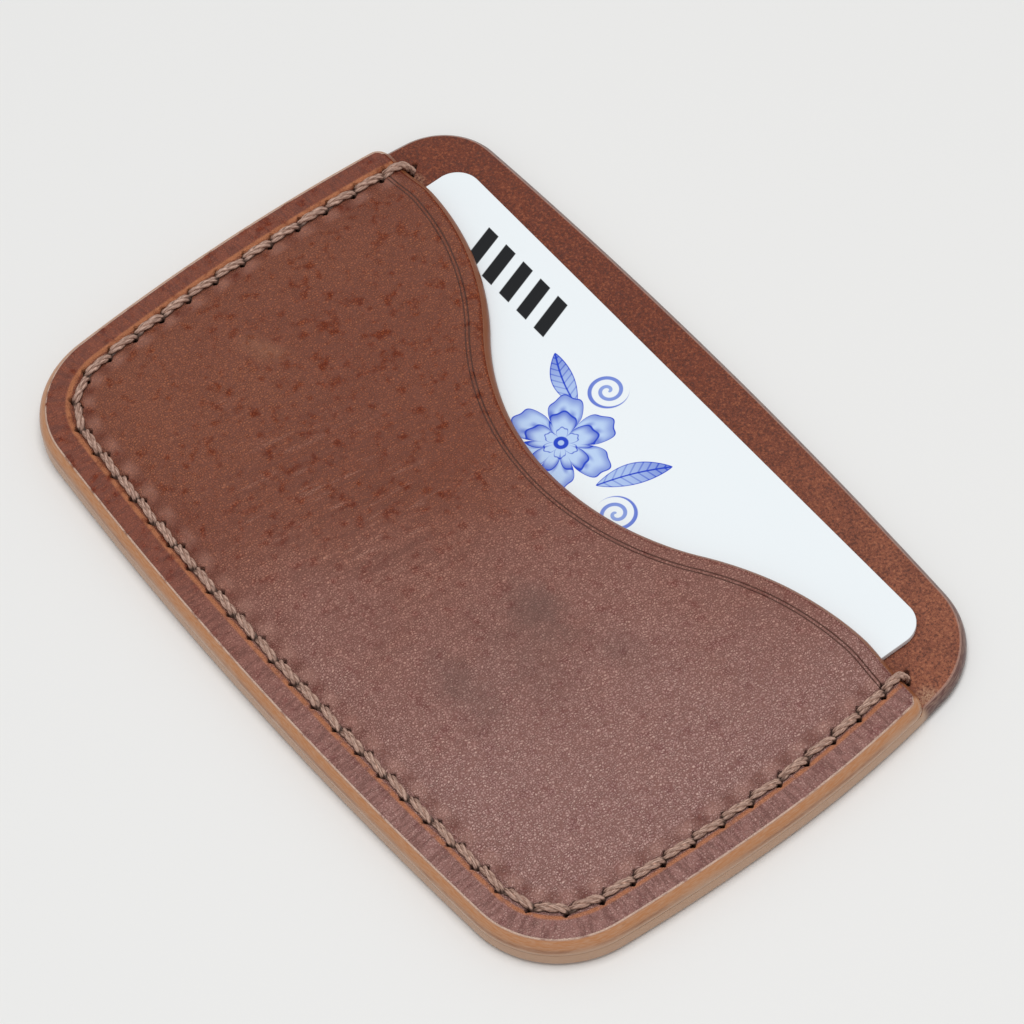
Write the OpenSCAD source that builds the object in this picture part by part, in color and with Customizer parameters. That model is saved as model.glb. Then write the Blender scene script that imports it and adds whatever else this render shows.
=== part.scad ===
// Slim leather card wallet: two panels of vegetable-tanned leather saddle-stitched round three sides,
// with a bell-shaped pocket mouth and one bank-size card that slides out of it.
// Millimetres. X runs along the wallet, Y towards the pocket mouth, Z up from the back face.
// The origin is the middle of the flat back face.

/* [Wallet outline] */
// Half of the length, from the middle to the crown of an end
half_length = 52.6; // [48:0.1:60]
// Half of the width, from the middle to the crown of a long side
half_width = 34.5; // [31:0.1:40]
// How far the long side at the mouth bows outwards
mouth_side_bow = 1.8; // [0.8:0.1:4]
// How far the long side at the base bows outwards
base_side_bow = 2.5; // [0.8:0.1:4]
// How far the ends bow outwards on the mouth half
mouth_end_bow = 4.5; // [1.5:0.1:6]
// Rise of the left-hand end's arc on the mouth side, which was cut flatter
mouth_end_bow_left = 2.5; // [1:0.1:8]
// How far the ends bow outwards on the base half
base_end_bow = 2.5; // [1.5:0.1:6]
// Radius of the right-hand corner beside the mouth
mouth_corner_r = 11; // [10.5:0.1:16]
// Radius of the left-hand corner beside the mouth, which was cut tighter
mouth_corner_r_left = 8.4; // [8:0.1:16]
// Radius of the two corners at the base
base_corner_r = 12.4; // [10.5:0.1:16]
// Length of the left-hand half as a share of the right-hand half, because the pattern was cut by hand
left_share = 0.99; // [0.97:0.001:1.03]

/* [Leather] */
// Thickness of the back panel
back_t = 2.2; // [1.6:0.1:3]
// Thickness of the front panel
front_t = 2.1; // [1.4:0.1:3]
// Radius that the front panel's outer arris is burnished to
edge_r = 1.0; // [0.3:0.1:1.2]
// Radius of the back panel's two arrises
back_edge_r = 0.6; // [0.3:0.1:0.7]
// Height that the front panel is moulded up over the card
card_lift = 1.0; // [0.95:0.05:1.6]

/* [Pocket mouth] */
// Height of the lowest point of the mouth above the middle of the wallet
mouth_low = 8.7; // [4:0.05:14]
// Height of the mouth at its right-hand end
mouth_high = 21.6; // [20:0.1:26]
// Height of the mouth at its left-hand end
mouth_high_left = 22.9; // [20:0.1:26]
// Distance from the middle to where the mouth runs level again
mouth_reach = 42.7; // [38:0.1:49]
// Share of the curve that belongs to the hollow arc in the middle
mouth_hollow_share = 0.47; // [0.3:0.01:0.7]
// Radius of the front panel's two corners at the mouth
mouth_tip_r = 1.9; // [1:0.1:3]

/* [Seam] */
// Distance from the outer edge to the line of stitches
seam_inset = 4.5; // [3.5:0.1:5]
// Number of stitches from the middle of the base to one end of the seam
stitches_each_way = 24; // [18:1:26]
// How far the last hole lies beyond the mouth
lock_overlap = 1.1; // [0.8:0.1:2]
// Diameter of the waxed thread
thread_d = 0.8; // [0.5:0.02:0.86]
// Length of a slanted stitch hole
slit_l = 2.1; // [2.1:0.05:2.4]
// Angle between a stitch hole and the seam
slit_angle = 46; // [46:1:55]

/* [Card] */
// Length of a bank-size card
card_l = 85.6; // [85.4:0.1:85.8]
// Width of a bank-size card
card_w = 53.98; // [53.8:0.02:54.1]
// Thickness of a bank-size card
card_t = 0.76; // [0.68:0.02:0.84]
// Corner radius of a bank-size card
card_r = 3.18; // [2.88:0.02:3.48]
// Height of the seated card's base edge above the base seam
card_seat = 4.6; // [4.5:0.1:6]

/* [Hidden] */

LEATHER = [0.42, 0.19, 0.12];
LEATHER_DARK = [0.36, 0.17, 0.11];
THREAD = [0.42, 0.33, 0.26];
CARD = [0.90, 0.93, 0.97];

fit_gap = 0.1;          // clear space above and below the card
reach = 70;             // anything beyond the outline
END_STEPS = 7;          // straight pieces in half of an end arc
CORNER_STEPS = 9;       // straight pieces in a corner
SIDE_STEPS = 8;         // straight pieces in half of a side arc
MOUTH_STEPS = 14;       // straight pieces in one arc of the mouth
TIP_STEPS = 6;          // straight pieces in the front panel's corner at the mouth
THREAD_SIDES = 8;
slit_w = thread_d + 0.1;
strand_gap = (slit_l - slit_w) / 2;             // from the middle of a hole to each of its two strands
slit_flank = slit_l / 2 - slit_w / 6;           // from the middle of a hole to where its points begin
seam_z = back_t + front_t;                      // height of the front face round the seam
groove_w = thread_d + 2 * strand_gap * sin(slit_angle) + 0.16;
groove_back_d = thread_d + 0.08;
groove_front_d = 0.36;
thread_back_z = thread_d / 2 + 0.04;            // back stitches lie flush in their groove
thread_front_z = seam_z - groove_front_d + thread_d / 2 + 0.06;
thread_lock_z = back_t - groove_front_d + thread_d / 2 + 0.06;
ramp_in = seam_inset + groove_w / 2 + 0.1;      // inset where the front panel starts to rise
ramp_under = ramp_in + 2.1;                     // inset where its underside clears the card
ramp_over = ramp_in + 3.9;                      // inset where its top runs level again

// Radius of an arc from half of its chord and its rise
function arc_radius(half_chord, rise) = (half_chord * half_chord + rise * rise) / (2 * rise);

// Point of a circle
function on_circle(centre, r, a) = centre + r * [cos(a), sin(a)];

// Upper of the two points where two circles meet
function circles_meet(c1, r1, c2, r2) =
    let (v = c2 - c1, d = norm(v), a = (r1 * r1 - r2 * r2 + d * d) / (2 * d))
    let (h = sqrt(r1 * r1 - a * a), u = v / d, side = [-u[1], u[0]])
    let (p = c1 + a * u + h * side, q = c1 + a * u - h * side)
    p[0] + p[1] > q[0] + q[1] ? p : q;

// One quarter of the outline, from the end's crown round the corner to the side's crown
function quarter(inset, side_bow, end_bow, corner_r) =
    let (r_side = arc_radius(half_length, side_bow), r_end = arc_radius(half_width, end_bow))
    let (c_side = [0, half_width - r_side], c_end = [half_length - r_end, 0])
    let (c = circles_meet(c_side, r_side - corner_r, c_end, r_end - corner_r))
    let (a_end = atan2(c[1] - c_end[1], c[0] - c_end[0]), a_side = atan2(c[1] - c_side[1], c[0] - c_side[0]))
    [
        for (i = [0:END_STEPS - 1]) on_circle(c_end, r_end - inset, a_end * i / END_STEPS),
        for (i = [0:CORNER_STEPS - 1])
            on_circle(c, corner_r - inset, a_end + (a_side - a_end) * i / CORNER_STEPS),
        for (i = [0:SIDE_STEPS]) on_circle(c_side, r_side - inset, a_side + (90 - a_side) * i / SIDE_STEPS)
    ];

function reversed(list) = [for (i = [len(list) - 1:-1:0]) list[i]];
function all_but_last(list) = [for (i = [0:len(list) - 2]) list[i]];

function mouth_quarter(inset, end_bow, corner_r) = quarter(inset, mouth_side_bow, end_bow, corner_r);
function base_quarter(inset) = quarter(inset, base_side_bow, base_end_bow, base_corner_r);

// A point of the right-hand half carried over to the left-hand one
function to_left(p) = [-left_share * p[0], p[1]];

// The whole outline, anticlockwise, moved inwards by inset, with the left-hand mouth corner of radius left_r
function outline(inset, left_r = mouth_corner_r_left) = concat(
    all_but_last(mouth_quarter(inset, mouth_end_bow, mouth_corner_r)),
    all_but_last(reversed([for (p = mouth_quarter(inset, mouth_end_bow_left, left_r)) to_left(p)])),
    all_but_last([for (p = base_quarter(inset)) to_left([p[0], -p[1]])]),
    all_but_last(reversed([for (p = base_quarter(inset)) [p[0], -p[1]]]))
);

// Solid through rings of points, each given as an inset and a height, from its lowest face to its top
module panel_solid(profile, left_r = mouth_corner_r_left) {
    rings = [for (step = profile) [for (p = outline(step[0], left_r)) [p[0], p[1], step[1]]]];
    n = len(rings[0]);
    last = len(rings) - 1;
    sides = [
        for (k = [0:last - 1], i = [0:n - 1])
            [k * n + i, (k + 1) * n + i, (k + 1) * n + (i + 1) % n, k * n + (i + 1) % n]
    ];
    polyhedron(
        points = [for (ring = rings) each ring],
        faces = concat([[for (i = [0:n - 1]) i]], sides, [[for (i = [n - 1:-1:0]) last * n + i]]),
        convexity = 4
    );
}

// Rounded arris: insets and heights from the side wall up to a face at height z
function upper_arris(r, z) = [for (a = [0:30:90]) [r * (1 - cos(a)), z - r * (1 - sin(a))]];
function lower_arris(r, z) = [for (a = [90:-30:0]) [r * (1 - cos(a)), z + r * (1 - sin(a))]];

// Soft step: inset and height between two insets, rising by lift
function soft_step(from, to, z, lift, steps) =
    [for (i = [0:steps]) [from + (to - from) * i / steps, z + lift * (1 - cos(180 * i / steps)) / 2]];

// Seam line from the middle of the base round a right-hand corner to the last hole, beyond a mouth at height high
function seam_half(high, end_bow) =
    let (end_r = arc_radius(half_width, end_bow), top_a = asin((high + lock_overlap) / (end_r - seam_inset)))
    concat(
        reversed([for (p = base_quarter(seam_inset)) [p[0], -p[1]]]),
        [for (i = [1:END_STEPS])
            on_circle([half_length - end_r, 0], end_r - seam_inset, top_a * i / END_STEPS)]
    );
function run_along(line) = [
    for (i = 0, s = 0; i < len(line); i = i + 1, s = i < len(line) ? s + norm(line[i] - line[i - 1]) : s) s
];
right_seam = seam_half(mouth_high, mouth_end_bow);
left_seam = [for (p = seam_half(mouth_high_left, mouth_end_bow_left)) to_left(p)];
right_run = run_along(right_seam);
left_run = run_along(left_seam);

// Point of a line at a distance along it
function at_run(line, run, s) = [
    lookup(s, [for (i = [0:len(line) - 1]) [run[i], line[i][0]]]),
    lookup(s, [for (i = [0:len(line) - 1]) [run[i], line[i][1]]])
];

// Hole k, counted from the middle of the base: negative to the left, and any fraction in between
function seam_point(k) =
    let (line = k < 0 ? left_seam : right_seam, run = k < 0 ? left_run : right_run)
    at_run(line, run, abs(k) / stitches_each_way * run[len(run) - 1]);

// Direction of the seam at hole k, as an angle
function seam_angle(k) =
    let (v = seam_point(k + 0.4) - seam_point(k - 0.4)) atan2(v[1], v[0]);

module stitch_holes() {
    for (k = [-stitches_each_way:stitches_each_way])
        translate(seam_point(k))
            rotate(seam_angle(k) + slit_angle)
                polygon([
                    [-slit_l / 2, 0], [-slit_flank, -slit_w / 2], [slit_flank, -slit_w / 2],
                    [slit_l / 2, 0], [slit_flank, slit_w / 2], [-slit_flank, slit_w / 2]
                ]);
}

// Band along the seam on three sides, as wide as the stitching groove
module groove_band() {
    intersection() {
        difference() {
            polygon(outline(seam_inset - groove_w / 2));
            polygon(outline(seam_inset + groove_w / 2));
        }
        for (half = [[0, mouth_high], [-reach, mouth_high_left]])
            translate([half[0], -reach])
                square([reach, reach + half[1] + lock_overlap + slit_l / 2 + 0.2]);
    }
}

// Right-hand half of the line where the pocket mouth cuts the front panel away, level at height high
function mouth_half(high, end_bow) =
    let (slope = 2 * atan((high - mouth_low) / mouth_reach), r_sum = mouth_reach / sin(slope))
    let (hollow_r = r_sum * mouth_hollow_share, crown_r = r_sum - hollow_r, tip_y = high - mouth_tip_r)
    let (end_r = arc_radius(half_width, end_bow), tip_a = asin(tip_y / (end_r - mouth_tip_r)))
    let (tip_x = half_length - end_r + (end_r - mouth_tip_r) * cos(tip_a))
    concat(
        [for (i = [0:MOUTH_STEPS - 1]) on_circle([0, mouth_low + hollow_r], hollow_r, -90 + slope * i / MOUTH_STEPS)],
        [for (i = [0:MOUTH_STEPS])
            on_circle([mouth_reach, high - crown_r], crown_r, 90 + slope * (1 - i / MOUTH_STEPS))],
        [for (i = [0:TIP_STEPS]) on_circle([tip_x, tip_y], mouth_tip_r, 90 + (tip_a - 90) * i / TIP_STEPS)],
        [[reach, tip_y]]
    );

module mouth_cut() {
    polygon(concat(
        [for (p = reversed(mouth_half(mouth_high_left, mouth_end_bow_left))) to_left(p)],
        [for (i = [1:2 * MOUTH_STEPS + TIP_STEPS + 2]) mouth_half(mouth_high, mouth_end_bow)[i]],
        [[reach, reach], [-reach, reach]]
    ));
}

// Back panel: full outline, pierced and grooved for the seam
module back_panel() {
    color(LEATHER_DARK)
        difference() {
            panel_solid(concat(lower_arris(back_edge_r, 0), upper_arris(back_edge_r, back_t)));
            translate([0, 0, -1])
                linear_extrude(back_t + 2)
                    stitch_holes();
            translate([0, 0, -1])
                linear_extrude(1 + groove_back_d)
                    groove_band();
            translate([0, 0, back_t - groove_front_d])
                linear_extrude(1)
                    intersection() {
                        groove_band();
                        mouth_cut();
                    }
        }
}

// Front panel: lies on the back panel round the seam and is moulded up over the card
module front_panel() {
    color(LEATHER)
        difference() {
            panel_solid(concat(
                reversed(soft_step(ramp_in, ramp_under, back_t, card_lift, 4)),
                [[0, back_t]],
                upper_arris(edge_r, seam_z),
                [
                    [seam_inset - groove_w / 2, seam_z], [seam_inset - groove_w / 2, seam_z - groove_front_d],
                    [seam_inset + groove_w / 2, seam_z - groove_front_d], [seam_inset + groove_w / 2, seam_z]
                ],
                soft_step(ramp_in, ramp_over, seam_z, card_lift, 5)
            ), mouth_corner_r); // the mouth cuts both of its own corners away, so one radius does for them
            linear_extrude(seam_z + card_lift + 1)
                mouth_cut();
            translate([0, 0, back_t - 1])
                linear_extrude(front_t + 3)
                    stitch_holes();
        }
}

// Route of the one thread: out along the seam as a running stitch, and back through the same holes
// to fill the gaps. Each hole holds two strands side by side along its slit.
function hole_strand(k, side) =
    let (a = seam_angle(k) + slit_angle) seam_point(k) + side * strand_gap * [cos(a), sin(a)];
function strand_leg(k, side, goes_up) =
    let (p = hole_strand(k, side), top_z = abs(k) == stitches_each_way ? thread_lock_z : thread_front_z)
    let (low = [p[0], p[1], thread_back_z], high = [p[0], p[1], top_z])
    goes_up ? [low, high] : [high, low];

// Where the lock stitch turns down over the mouth's edge, on the side that way points to
function over_edge(way, side) =
    let (p = hole_strand(way * stitches_each_way, side))
    [p[0], (way < 0 ? mouth_high_left : mouth_high) + thread_d / 2 + 0.1, thread_front_z];

thread_route = concat(
    strand_leg(-stitches_each_way, 1, true),
    [over_edge(-1, 1)],
    [for (k = [1 - stitches_each_way:stitches_each_way]) each strand_leg(k, 1, (k + stitches_each_way) % 2 == 0)],
    [over_edge(1, 1)],
    [for (k = [stitches_each_way - 1:-1:-stitches_each_way])
        each strand_leg(k, -1, (k + stitches_each_way) % 2 == 0)]
);

function unit(v) = v / norm(v);

// Tube along a route of straight runs, mitred at each corner
module tube(route, d, sides) {
    last = len(route) - 1;
    along = [for (i = [0:last - 1]) unit(route[i + 1] - route[i])];
    first_side = unit(cross(along[0], route[last] - route[0] + [1, 0, 0]));
    // sideways direction for each run, carried on from the run before
    across = [
        for (i = 0, side = first_side; i < last; i = i + 1,
             side = i < last ? unit(side - along[i] * (side * along[i])) : side)
            side
    ];
    rings = [
        for (i = [0:last])
            let (run = max(i - 1, 0), into = along[run], cut = unit(into + along[min(i, last - 1)]))
            let (side = across[run], up = cross(into, side))
            [for (j = [0:sides - 1])
                let (a = 360 * (j + 0.5) / sides, p = d / 2 * (cos(a) * side + sin(a) * up))
                route[i] + p - into * (p * cut) / (into * cut)]
    ];
    walls = [
        for (k = [0:last - 1], j = [0:sides - 1])
            [k * sides + j, (k + 1) * sides + j, (k + 1) * sides + (j + 1) % sides, k * sides + (j + 1) % sides]
    ];
    polyhedron(
        points = [for (ring = rings) each ring],
        faces = concat([[for (j = [0:sides - 1]) j]], walls, [[for (j = [sides - 1:-1:0]) last * sides + j]]),
        convexity = 20
    );
}

// Sewing thread: one length of waxed linen
module sewing_thread() {
    color(THREAD)
        tube(thread_route, thread_d, THREAD_SIDES);
}

// Bank card: rounded plate lying between the panels
module bank_card() {
    flat_l = card_l / 2 - card_r;
    flat_w = card_w / 2 - card_r;
    base_y = seam_inset + card_seat - half_width;
    color(CARD)
        translate([0, base_y + card_w / 2, back_t + fit_gap])
            linear_extrude(card_t) {
                square([card_l, 2 * flat_w], center = true);
                square([2 * flat_l, card_w], center = true);
                for (x = [-flat_l, flat_l], y = [-flat_w, flat_w])
                    translate([x, y])
                        circle(card_r, $fn = 48);
            }
}

back_panel();
front_panel();
sewing_thread();
bank_card();
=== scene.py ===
# %% [markdown]
# # A hand-stitched leather card wallet
#
# The real wallet is two panels of vegetable-tanned leather, one thread and a bank card. The CAD model
# already says where everything is and how the card slides. This lesson builds the look around it: dense
# leather skins with a rounded, burnished edge, a creased mouth and puckered stitches; a three-ply waxed
# thread; and a smooth printed card. Lengths are in millimetres until a mesh is made, because leather
# workers think in millimetres, and the scene is in metres.

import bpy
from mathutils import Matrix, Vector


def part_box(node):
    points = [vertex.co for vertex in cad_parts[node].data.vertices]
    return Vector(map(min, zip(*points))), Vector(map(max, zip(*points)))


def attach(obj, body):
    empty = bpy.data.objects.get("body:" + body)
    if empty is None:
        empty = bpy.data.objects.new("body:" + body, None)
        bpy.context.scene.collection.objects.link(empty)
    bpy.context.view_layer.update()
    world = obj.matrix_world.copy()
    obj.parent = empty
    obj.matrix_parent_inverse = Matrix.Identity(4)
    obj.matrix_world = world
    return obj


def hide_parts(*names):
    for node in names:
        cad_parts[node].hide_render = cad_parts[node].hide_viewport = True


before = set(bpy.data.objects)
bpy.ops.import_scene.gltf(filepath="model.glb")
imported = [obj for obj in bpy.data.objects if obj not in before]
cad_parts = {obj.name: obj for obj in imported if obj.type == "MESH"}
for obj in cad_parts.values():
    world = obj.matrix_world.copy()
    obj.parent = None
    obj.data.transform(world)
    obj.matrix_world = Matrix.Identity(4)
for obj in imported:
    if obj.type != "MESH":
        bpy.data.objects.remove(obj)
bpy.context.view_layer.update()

import math
from collections import namedtuple

import bpy
import numpy as np
from mathutils import Matrix, Vector
from mathutils.geometry import delaunay_2d_cdt

MM = 0.001

# %% [markdown]
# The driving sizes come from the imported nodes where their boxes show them: the panel's half length and
# half width, the heights of the two leathers, and how much shorter the left half is. The bow of each
# side, the corner radii, the mouth and the seam are shapes that a box can't tell, so they are named here
# with the same values as in the CAD. The wallet was cut by hand: names that end in _left are the left
# half's own values, and the rest hold for the right half or for both.

# %% Sizes
low, high = [[v / MM for v in corner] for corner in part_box("back_panel")]
half_length, half_width, back_t = high[0], high[1], high[2]
front_high = [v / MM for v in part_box("front_panel")[1]]
card_low, card_high = [[v / MM for v in corner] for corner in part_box("bank_card")]

mouth_side_bow, base_side_bow = 1.8, 2.5
mouth_end_bow, mouth_end_bow_left, base_end_bow = 4.5, 2.5, 2.5
mouth_corner_r, base_corner_r = 11.0, 12.4
mouth_corner_r_left = 8.4
left_share = -low[0] / high[0]  # the left half's length, as a share of the right half's
mouth_low, mouth_reach = 8.7, 42.7
mouth_high, mouth_high_left = 21.6, 22.9
mouth_hollow_share, mouth_tip_r = 0.47, 1.9
card_lift = 1.0
front_t = front_high[2] - card_lift - back_t
seam_z = back_t + front_t
seam_inset, stitches_each_way, lock_overlap = 4.5, 24, 1.1
thread_d = 0.8
slit_l, slit_angle = 2.1, math.radians(46)
card_l, card_w, card_r = 85.6, 53.98, 3.18
print("front leather", round(front_t, 2), "mm, back leather", round(back_t, 2), "mm")

# %% [markdown]
# A leather worker draws a pattern with a compass, and so does this script: every outline is a chain of
# arcs that run into each other without a kink. Keeping the arcs, and not only their points, pays off
# twice. A line inset from the edge is the same chain with other radii, and each station on the edge
# keeps its partner on every inset line, so rings of vertices can be joined without any matching. The
# left half is drawn as a mirror image with its own arcs, and is then shortened to its share.

# %% Outlines as chains of arcs
Arc = namedtuple("Arc", "centre radius start end")  # angles in degrees; end before start is a hollow arc


def arc_radius(half_chord, rise):
    """Radius of an arc from half of its chord and its rise."""
    return (half_chord**2 + rise**2) / (2 * rise)


def corner_arcs(side_bow, end_bow, corner_r):
    """End arc, corner arc and side arc of one quarter of the outline, from the end's crown upwards."""
    side = arc_radius(half_length, side_bow)
    end = arc_radius(half_width, end_bow)
    side_c = Vector((0, half_width - side))
    end_c = Vector((half_length - end, 0))
    gap = end_c - side_c
    from_side, from_end = side - corner_r, end - corner_r
    along = (from_side**2 - from_end**2 + gap.length_squared) / (2 * gap.length)
    off = math.sqrt(from_side**2 - along**2)
    across = Vector((-gap.y, gap.x)).normalized()
    meets = [side_c + gap.normalized() * along + across * way * off for way in (1, -1)]
    corner = max(meets, key=lambda p: p.x + p.y)
    end_a = math.degrees(math.atan2(corner.y - end_c.y, corner.x - end_c.x))
    side_a = math.degrees(math.atan2(corner.y - side_c.y, corner.x - side_c.x))
    return [
        Arc(tuple(end_c), end, 0, end_a),
        Arc(tuple(corner), corner_r, end_a, side_a),
        Arc(tuple(side_c), side, side_a, 90),
    ]


def upside_down(arcs):
    return [Arc((a.centre[0], -a.centre[1]), a.radius, -a.end, -a.start) for a in reversed(arcs)]


def both_halves(arcs, left_arcs):
    """The right half, from the middle of the base upwards, followed by the mirror image of left_arcs."""
    mirrored = [
        Arc((-a.centre[0], a.centre[1]), a.radius, 180 - a.end, 180 - a.start)
        for a in reversed(left_arcs)
    ]
    return arcs + mirrored


def station_angles(arc, spacing):
    length = abs(math.radians(arc.end - arc.start)) * arc.radius
    count = max(2, round(length / spacing))
    return np.radians(arc.start + (arc.end - arc.start) * np.arange(count) / count)


class Edge:
    """Stations along a chain of arcs. line(inset) gives their points, moved inwards by inset.

    left is the share to which the points left of the middle are shortened.
    """

    def __init__(self, arcs, spacing, left=left_share):
        self.left = left
        angles = [station_angles(a, spacing) for a in arcs]
        counts = [len(turned) for turned in angles]
        self.centre = np.repeat([a.centre for a in arcs], counts, axis=0)
        self.radius = np.repeat([float(a.radius) for a in arcs], counts)
        self.inward = np.repeat([math.copysign(1, a.end - a.start) for a in arcs], counts)
        turned = np.concatenate(angles)
        self.out = np.column_stack([np.cos(turned), np.sin(turned)])

    def line(self, inset):
        reach = self.radius - self.inward * inset
        points = self.centre + self.out * reach[:, None]
        points[:, 0] *= np.where(points[:, 0] < 0, self.left, 1)
        return points


base_arcs = corner_arcs(base_side_bow, base_end_bow, base_corner_r)
mouth_arcs = corner_arcs(mouth_side_bow, mouth_end_bow, mouth_corner_r)
mouth_arcs_left = corner_arcs(mouth_side_bow, mouth_end_bow_left, mouth_corner_r_left)
outline_arcs = both_halves(upside_down(base_arcs) + mouth_arcs, upside_down(base_arcs) + mouth_arcs_left)
print("outline arcs:", len(outline_arcs))

# %% [markdown]
# The mouth of the pocket is cut along two arcs each way: a hollow one in the middle, where a thumb
# reaches the card, and a crown that runs out level beside the seam. The tiny corner where the crown
# meets the end of the wallet is rounded off too, because a sharp leather corner curls. The crown is a
# little higher on the left, so each half is made for its own level.

# %% The pocket mouth
LEVEL_R = 5000  # the level stretch beside the tip, as an arc too flat to tell from a line


def mouth_half(level, end_arc):
    """End arc with its tip, and mouth, of one half of the front panel; level is the crown's height."""
    end_r = end_arc.radius
    slope = 2 * math.degrees(math.atan((level - mouth_low) / mouth_reach))
    both_radii = mouth_reach / math.sin(math.radians(slope))
    hollow_r = both_radii * mouth_hollow_share
    crown_r = both_radii - hollow_r
    tip_a = math.degrees(math.asin((level - mouth_tip_r) / (end_r - mouth_tip_r)))
    tip_x = half_length - end_r + (end_r - mouth_tip_r) * math.cos(math.radians(tip_a))
    level_a = math.degrees((tip_x - mouth_reach) / 2 / LEVEL_R)
    end = [Arc(end_arc.centre, end_r, 0, tip_a)]
    tip = [Arc((tip_x, level - mouth_tip_r), mouth_tip_r, tip_a, 90)]
    mouth = [
        Arc(((tip_x + mouth_reach) / 2, level - LEVEL_R), LEVEL_R, 90 - level_a, 90 + level_a),
        Arc((mouth_reach, level - crown_r), crown_r, 90, 90 + slope),
        Arc((0, mouth_low + hollow_r), hollow_r, slope - 90, -90),
    ]
    return end + tip, mouth


end_arcs, mouth_line_arcs = mouth_half(mouth_high, mouth_arcs[0])
end_arcs_left, mouth_line_arcs_left = mouth_half(mouth_high_left, mouth_arcs_left[0])
mouth_edge_arcs = both_halves(mouth_line_arcs, mouth_line_arcs_left)
front_arcs = both_halves(
    upside_down(base_arcs) + end_arcs + mouth_line_arcs,
    upside_down(base_arcs) + end_arcs_left + mouth_line_arcs_left,
)
EDGE_STEP = 0.36
back_edge = Edge(outline_arcs, EDGE_STEP)
front_edge = Edge(front_arcs, EDGE_STEP)
mouth_edge = Edge(mouth_edge_arcs, EDGE_STEP)
print("stations:", len(back_edge.radius), "round the back,", len(front_edge.radius), "round the front")

# %% [markdown]
# Everything on the surface is placed by three measures: how far a point lies inside the outline, how far
# from the mouth, and where it lies along and beside the seam. One function measures them all: it finds
# the nearest vertex of a line, and then the nearest spot on the two pieces of line that meet there.

# %% Measuring along a line
Measure = namedtuple("Measure", "away run")  # away is positive on the left of the line
MEASURED_AT_ONCE = 4096  # points to a block, so that the table of distances stays small
FINE_STEP = 0.2


def measure(points, line, closed=False):
    """Signed distance from the line, and distance along it, for each point."""
    a = line
    b = np.roll(line, -1, axis=0) if closed else line[1:]
    a = a if closed else line[:-1]
    piece = b - a
    length = np.hypot(*piece.T)
    start = np.concatenate([[0], np.cumsum(length)[:-1]])
    nearest = np.empty(len(points), int)
    for at in range(0, len(points), MEASURED_AT_ONCE):
        block = points[at:at + MEASURED_AT_ONCE]
        apart = (line**2).sum(1)[None] - 2 * block @ line.T
        nearest[at:at + MEASURED_AT_ONCE] = apart.argmin(1)
    best = np.full(len(points), np.inf)
    away, run = np.zeros(len(points)), np.zeros(len(points))
    for back in (1, 0):
        i = (nearest - back) % len(a) if closed else np.clip(nearest - back, 0, len(a) - 1)
        to = points - a[i]
        share = np.clip((to * piece[i]).sum(1) / length[i]**2, 0, 1)
        off = to - share[:, None] * piece[i]
        dist = np.hypot(*off.T)
        side = np.sign(piece[i][:, 0] * to[:, 1] - piece[i][:, 1] * to[:, 0])
        closer = dist < best
        best = np.where(closer, dist, best)
        away = np.where(closer, dist * side, away)
        run = np.where(closer, start[i] + share * length[i], run)
    return Measure(away, run)


def gap_to(points, spots):
    """Distance from each point to the nearest of the spots."""
    apart = points[:, None] - spots[None]
    return np.hypot(apart[..., 0], apart[..., 1]).min(axis=1)


OUTLINE = Edge(outline_arcs, FINE_STEP).line(0)
MOUTH = Edge(mouth_edge_arcs, FINE_STEP).line(0)


def inside_outline(points):
    return measure(points, OUTLINE, closed=True).away


def inside_mouth(points):
    """Distance from the mouth, positive on the front panel's side."""
    return measure(points, MOUTH).away


print("measuring lines:", len(OUTLINE), "points round the outline,", len(MOUTH), "along the mouth")

# %% [markdown]
# The seam runs at a constant inset round three sides. Its holes are pricked with a slanted iron at equal
# steps from the middle of the base, as many to the left as to the right, so the steps of the two halves
# differ by a hair. The last hole at each end is pricked through the back panel only, just beyond the
# mouth: the stitch that goes into it locks the mouth's corner down.

# %% The seam and its holes
SEAM_AHEAD = 0.8  # how far each way from a hole the seam's direction is taken


def seam_half(level, end_arc):
    """Line from the middle of the base round a right-hand corner to the hole beyond a mouth at level."""
    lock_a = math.degrees(math.asin((level + lock_overlap) / (end_arc.radius - seam_inset)))
    to_lock = Arc(end_arc.centre, end_arc.radius, 0, lock_a)
    beyond = Arc(end_arc.centre, end_arc.radius, lock_a, lock_a + 1)
    line = Edge(upside_down(base_arcs) + [to_lock], FINE_STEP).line(seam_inset)
    lock = Edge([beyond], 1).line(seam_inset)[:1]
    return np.vstack([line, lock])


left_seam = seam_half(mouth_high_left, mouth_arcs_left[0]) * [-left_share, 1]
SEAM = np.vstack([left_seam[:0:-1], seam_half(mouth_high, mouth_arcs[0])])
seam_run = np.concatenate([[0], np.cumsum(np.hypot(*np.diff(SEAM, axis=0).T))])
seam_length = seam_run[-1]
hole_count = 2 * stitches_each_way + 1
middle_run = seam_run[len(left_seam) - 1]
hole_run = np.concatenate([
    np.linspace(0, middle_run, stitches_each_way + 1)[:-1],
    np.linspace(middle_run, seam_length, stitches_each_way + 1),
])
pitch = seam_length / (hole_count - 1)


def on_seam(run):
    return np.column_stack([np.interp(run, seam_run, SEAM[:, 0]), np.interp(run, seam_run, SEAM[:, 1])])


def in_stitches(run):
    """Distance along the seam, counted in stitches from the first hole."""
    return np.interp(run, hole_run, np.arange(hole_count))


holes = on_seam(hole_run)
hole_way = on_seam(np.minimum(hole_run + SEAM_AHEAD, seam_length))
hole_way -= on_seam(np.maximum(hole_run - SEAM_AHEAD, 0))
hole_turn = np.arctan2(hole_way[:, 1], hole_way[:, 0]) + slit_angle
print(hole_count, "holes at a pitch of", round(pitch, 3), "mm")

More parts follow.
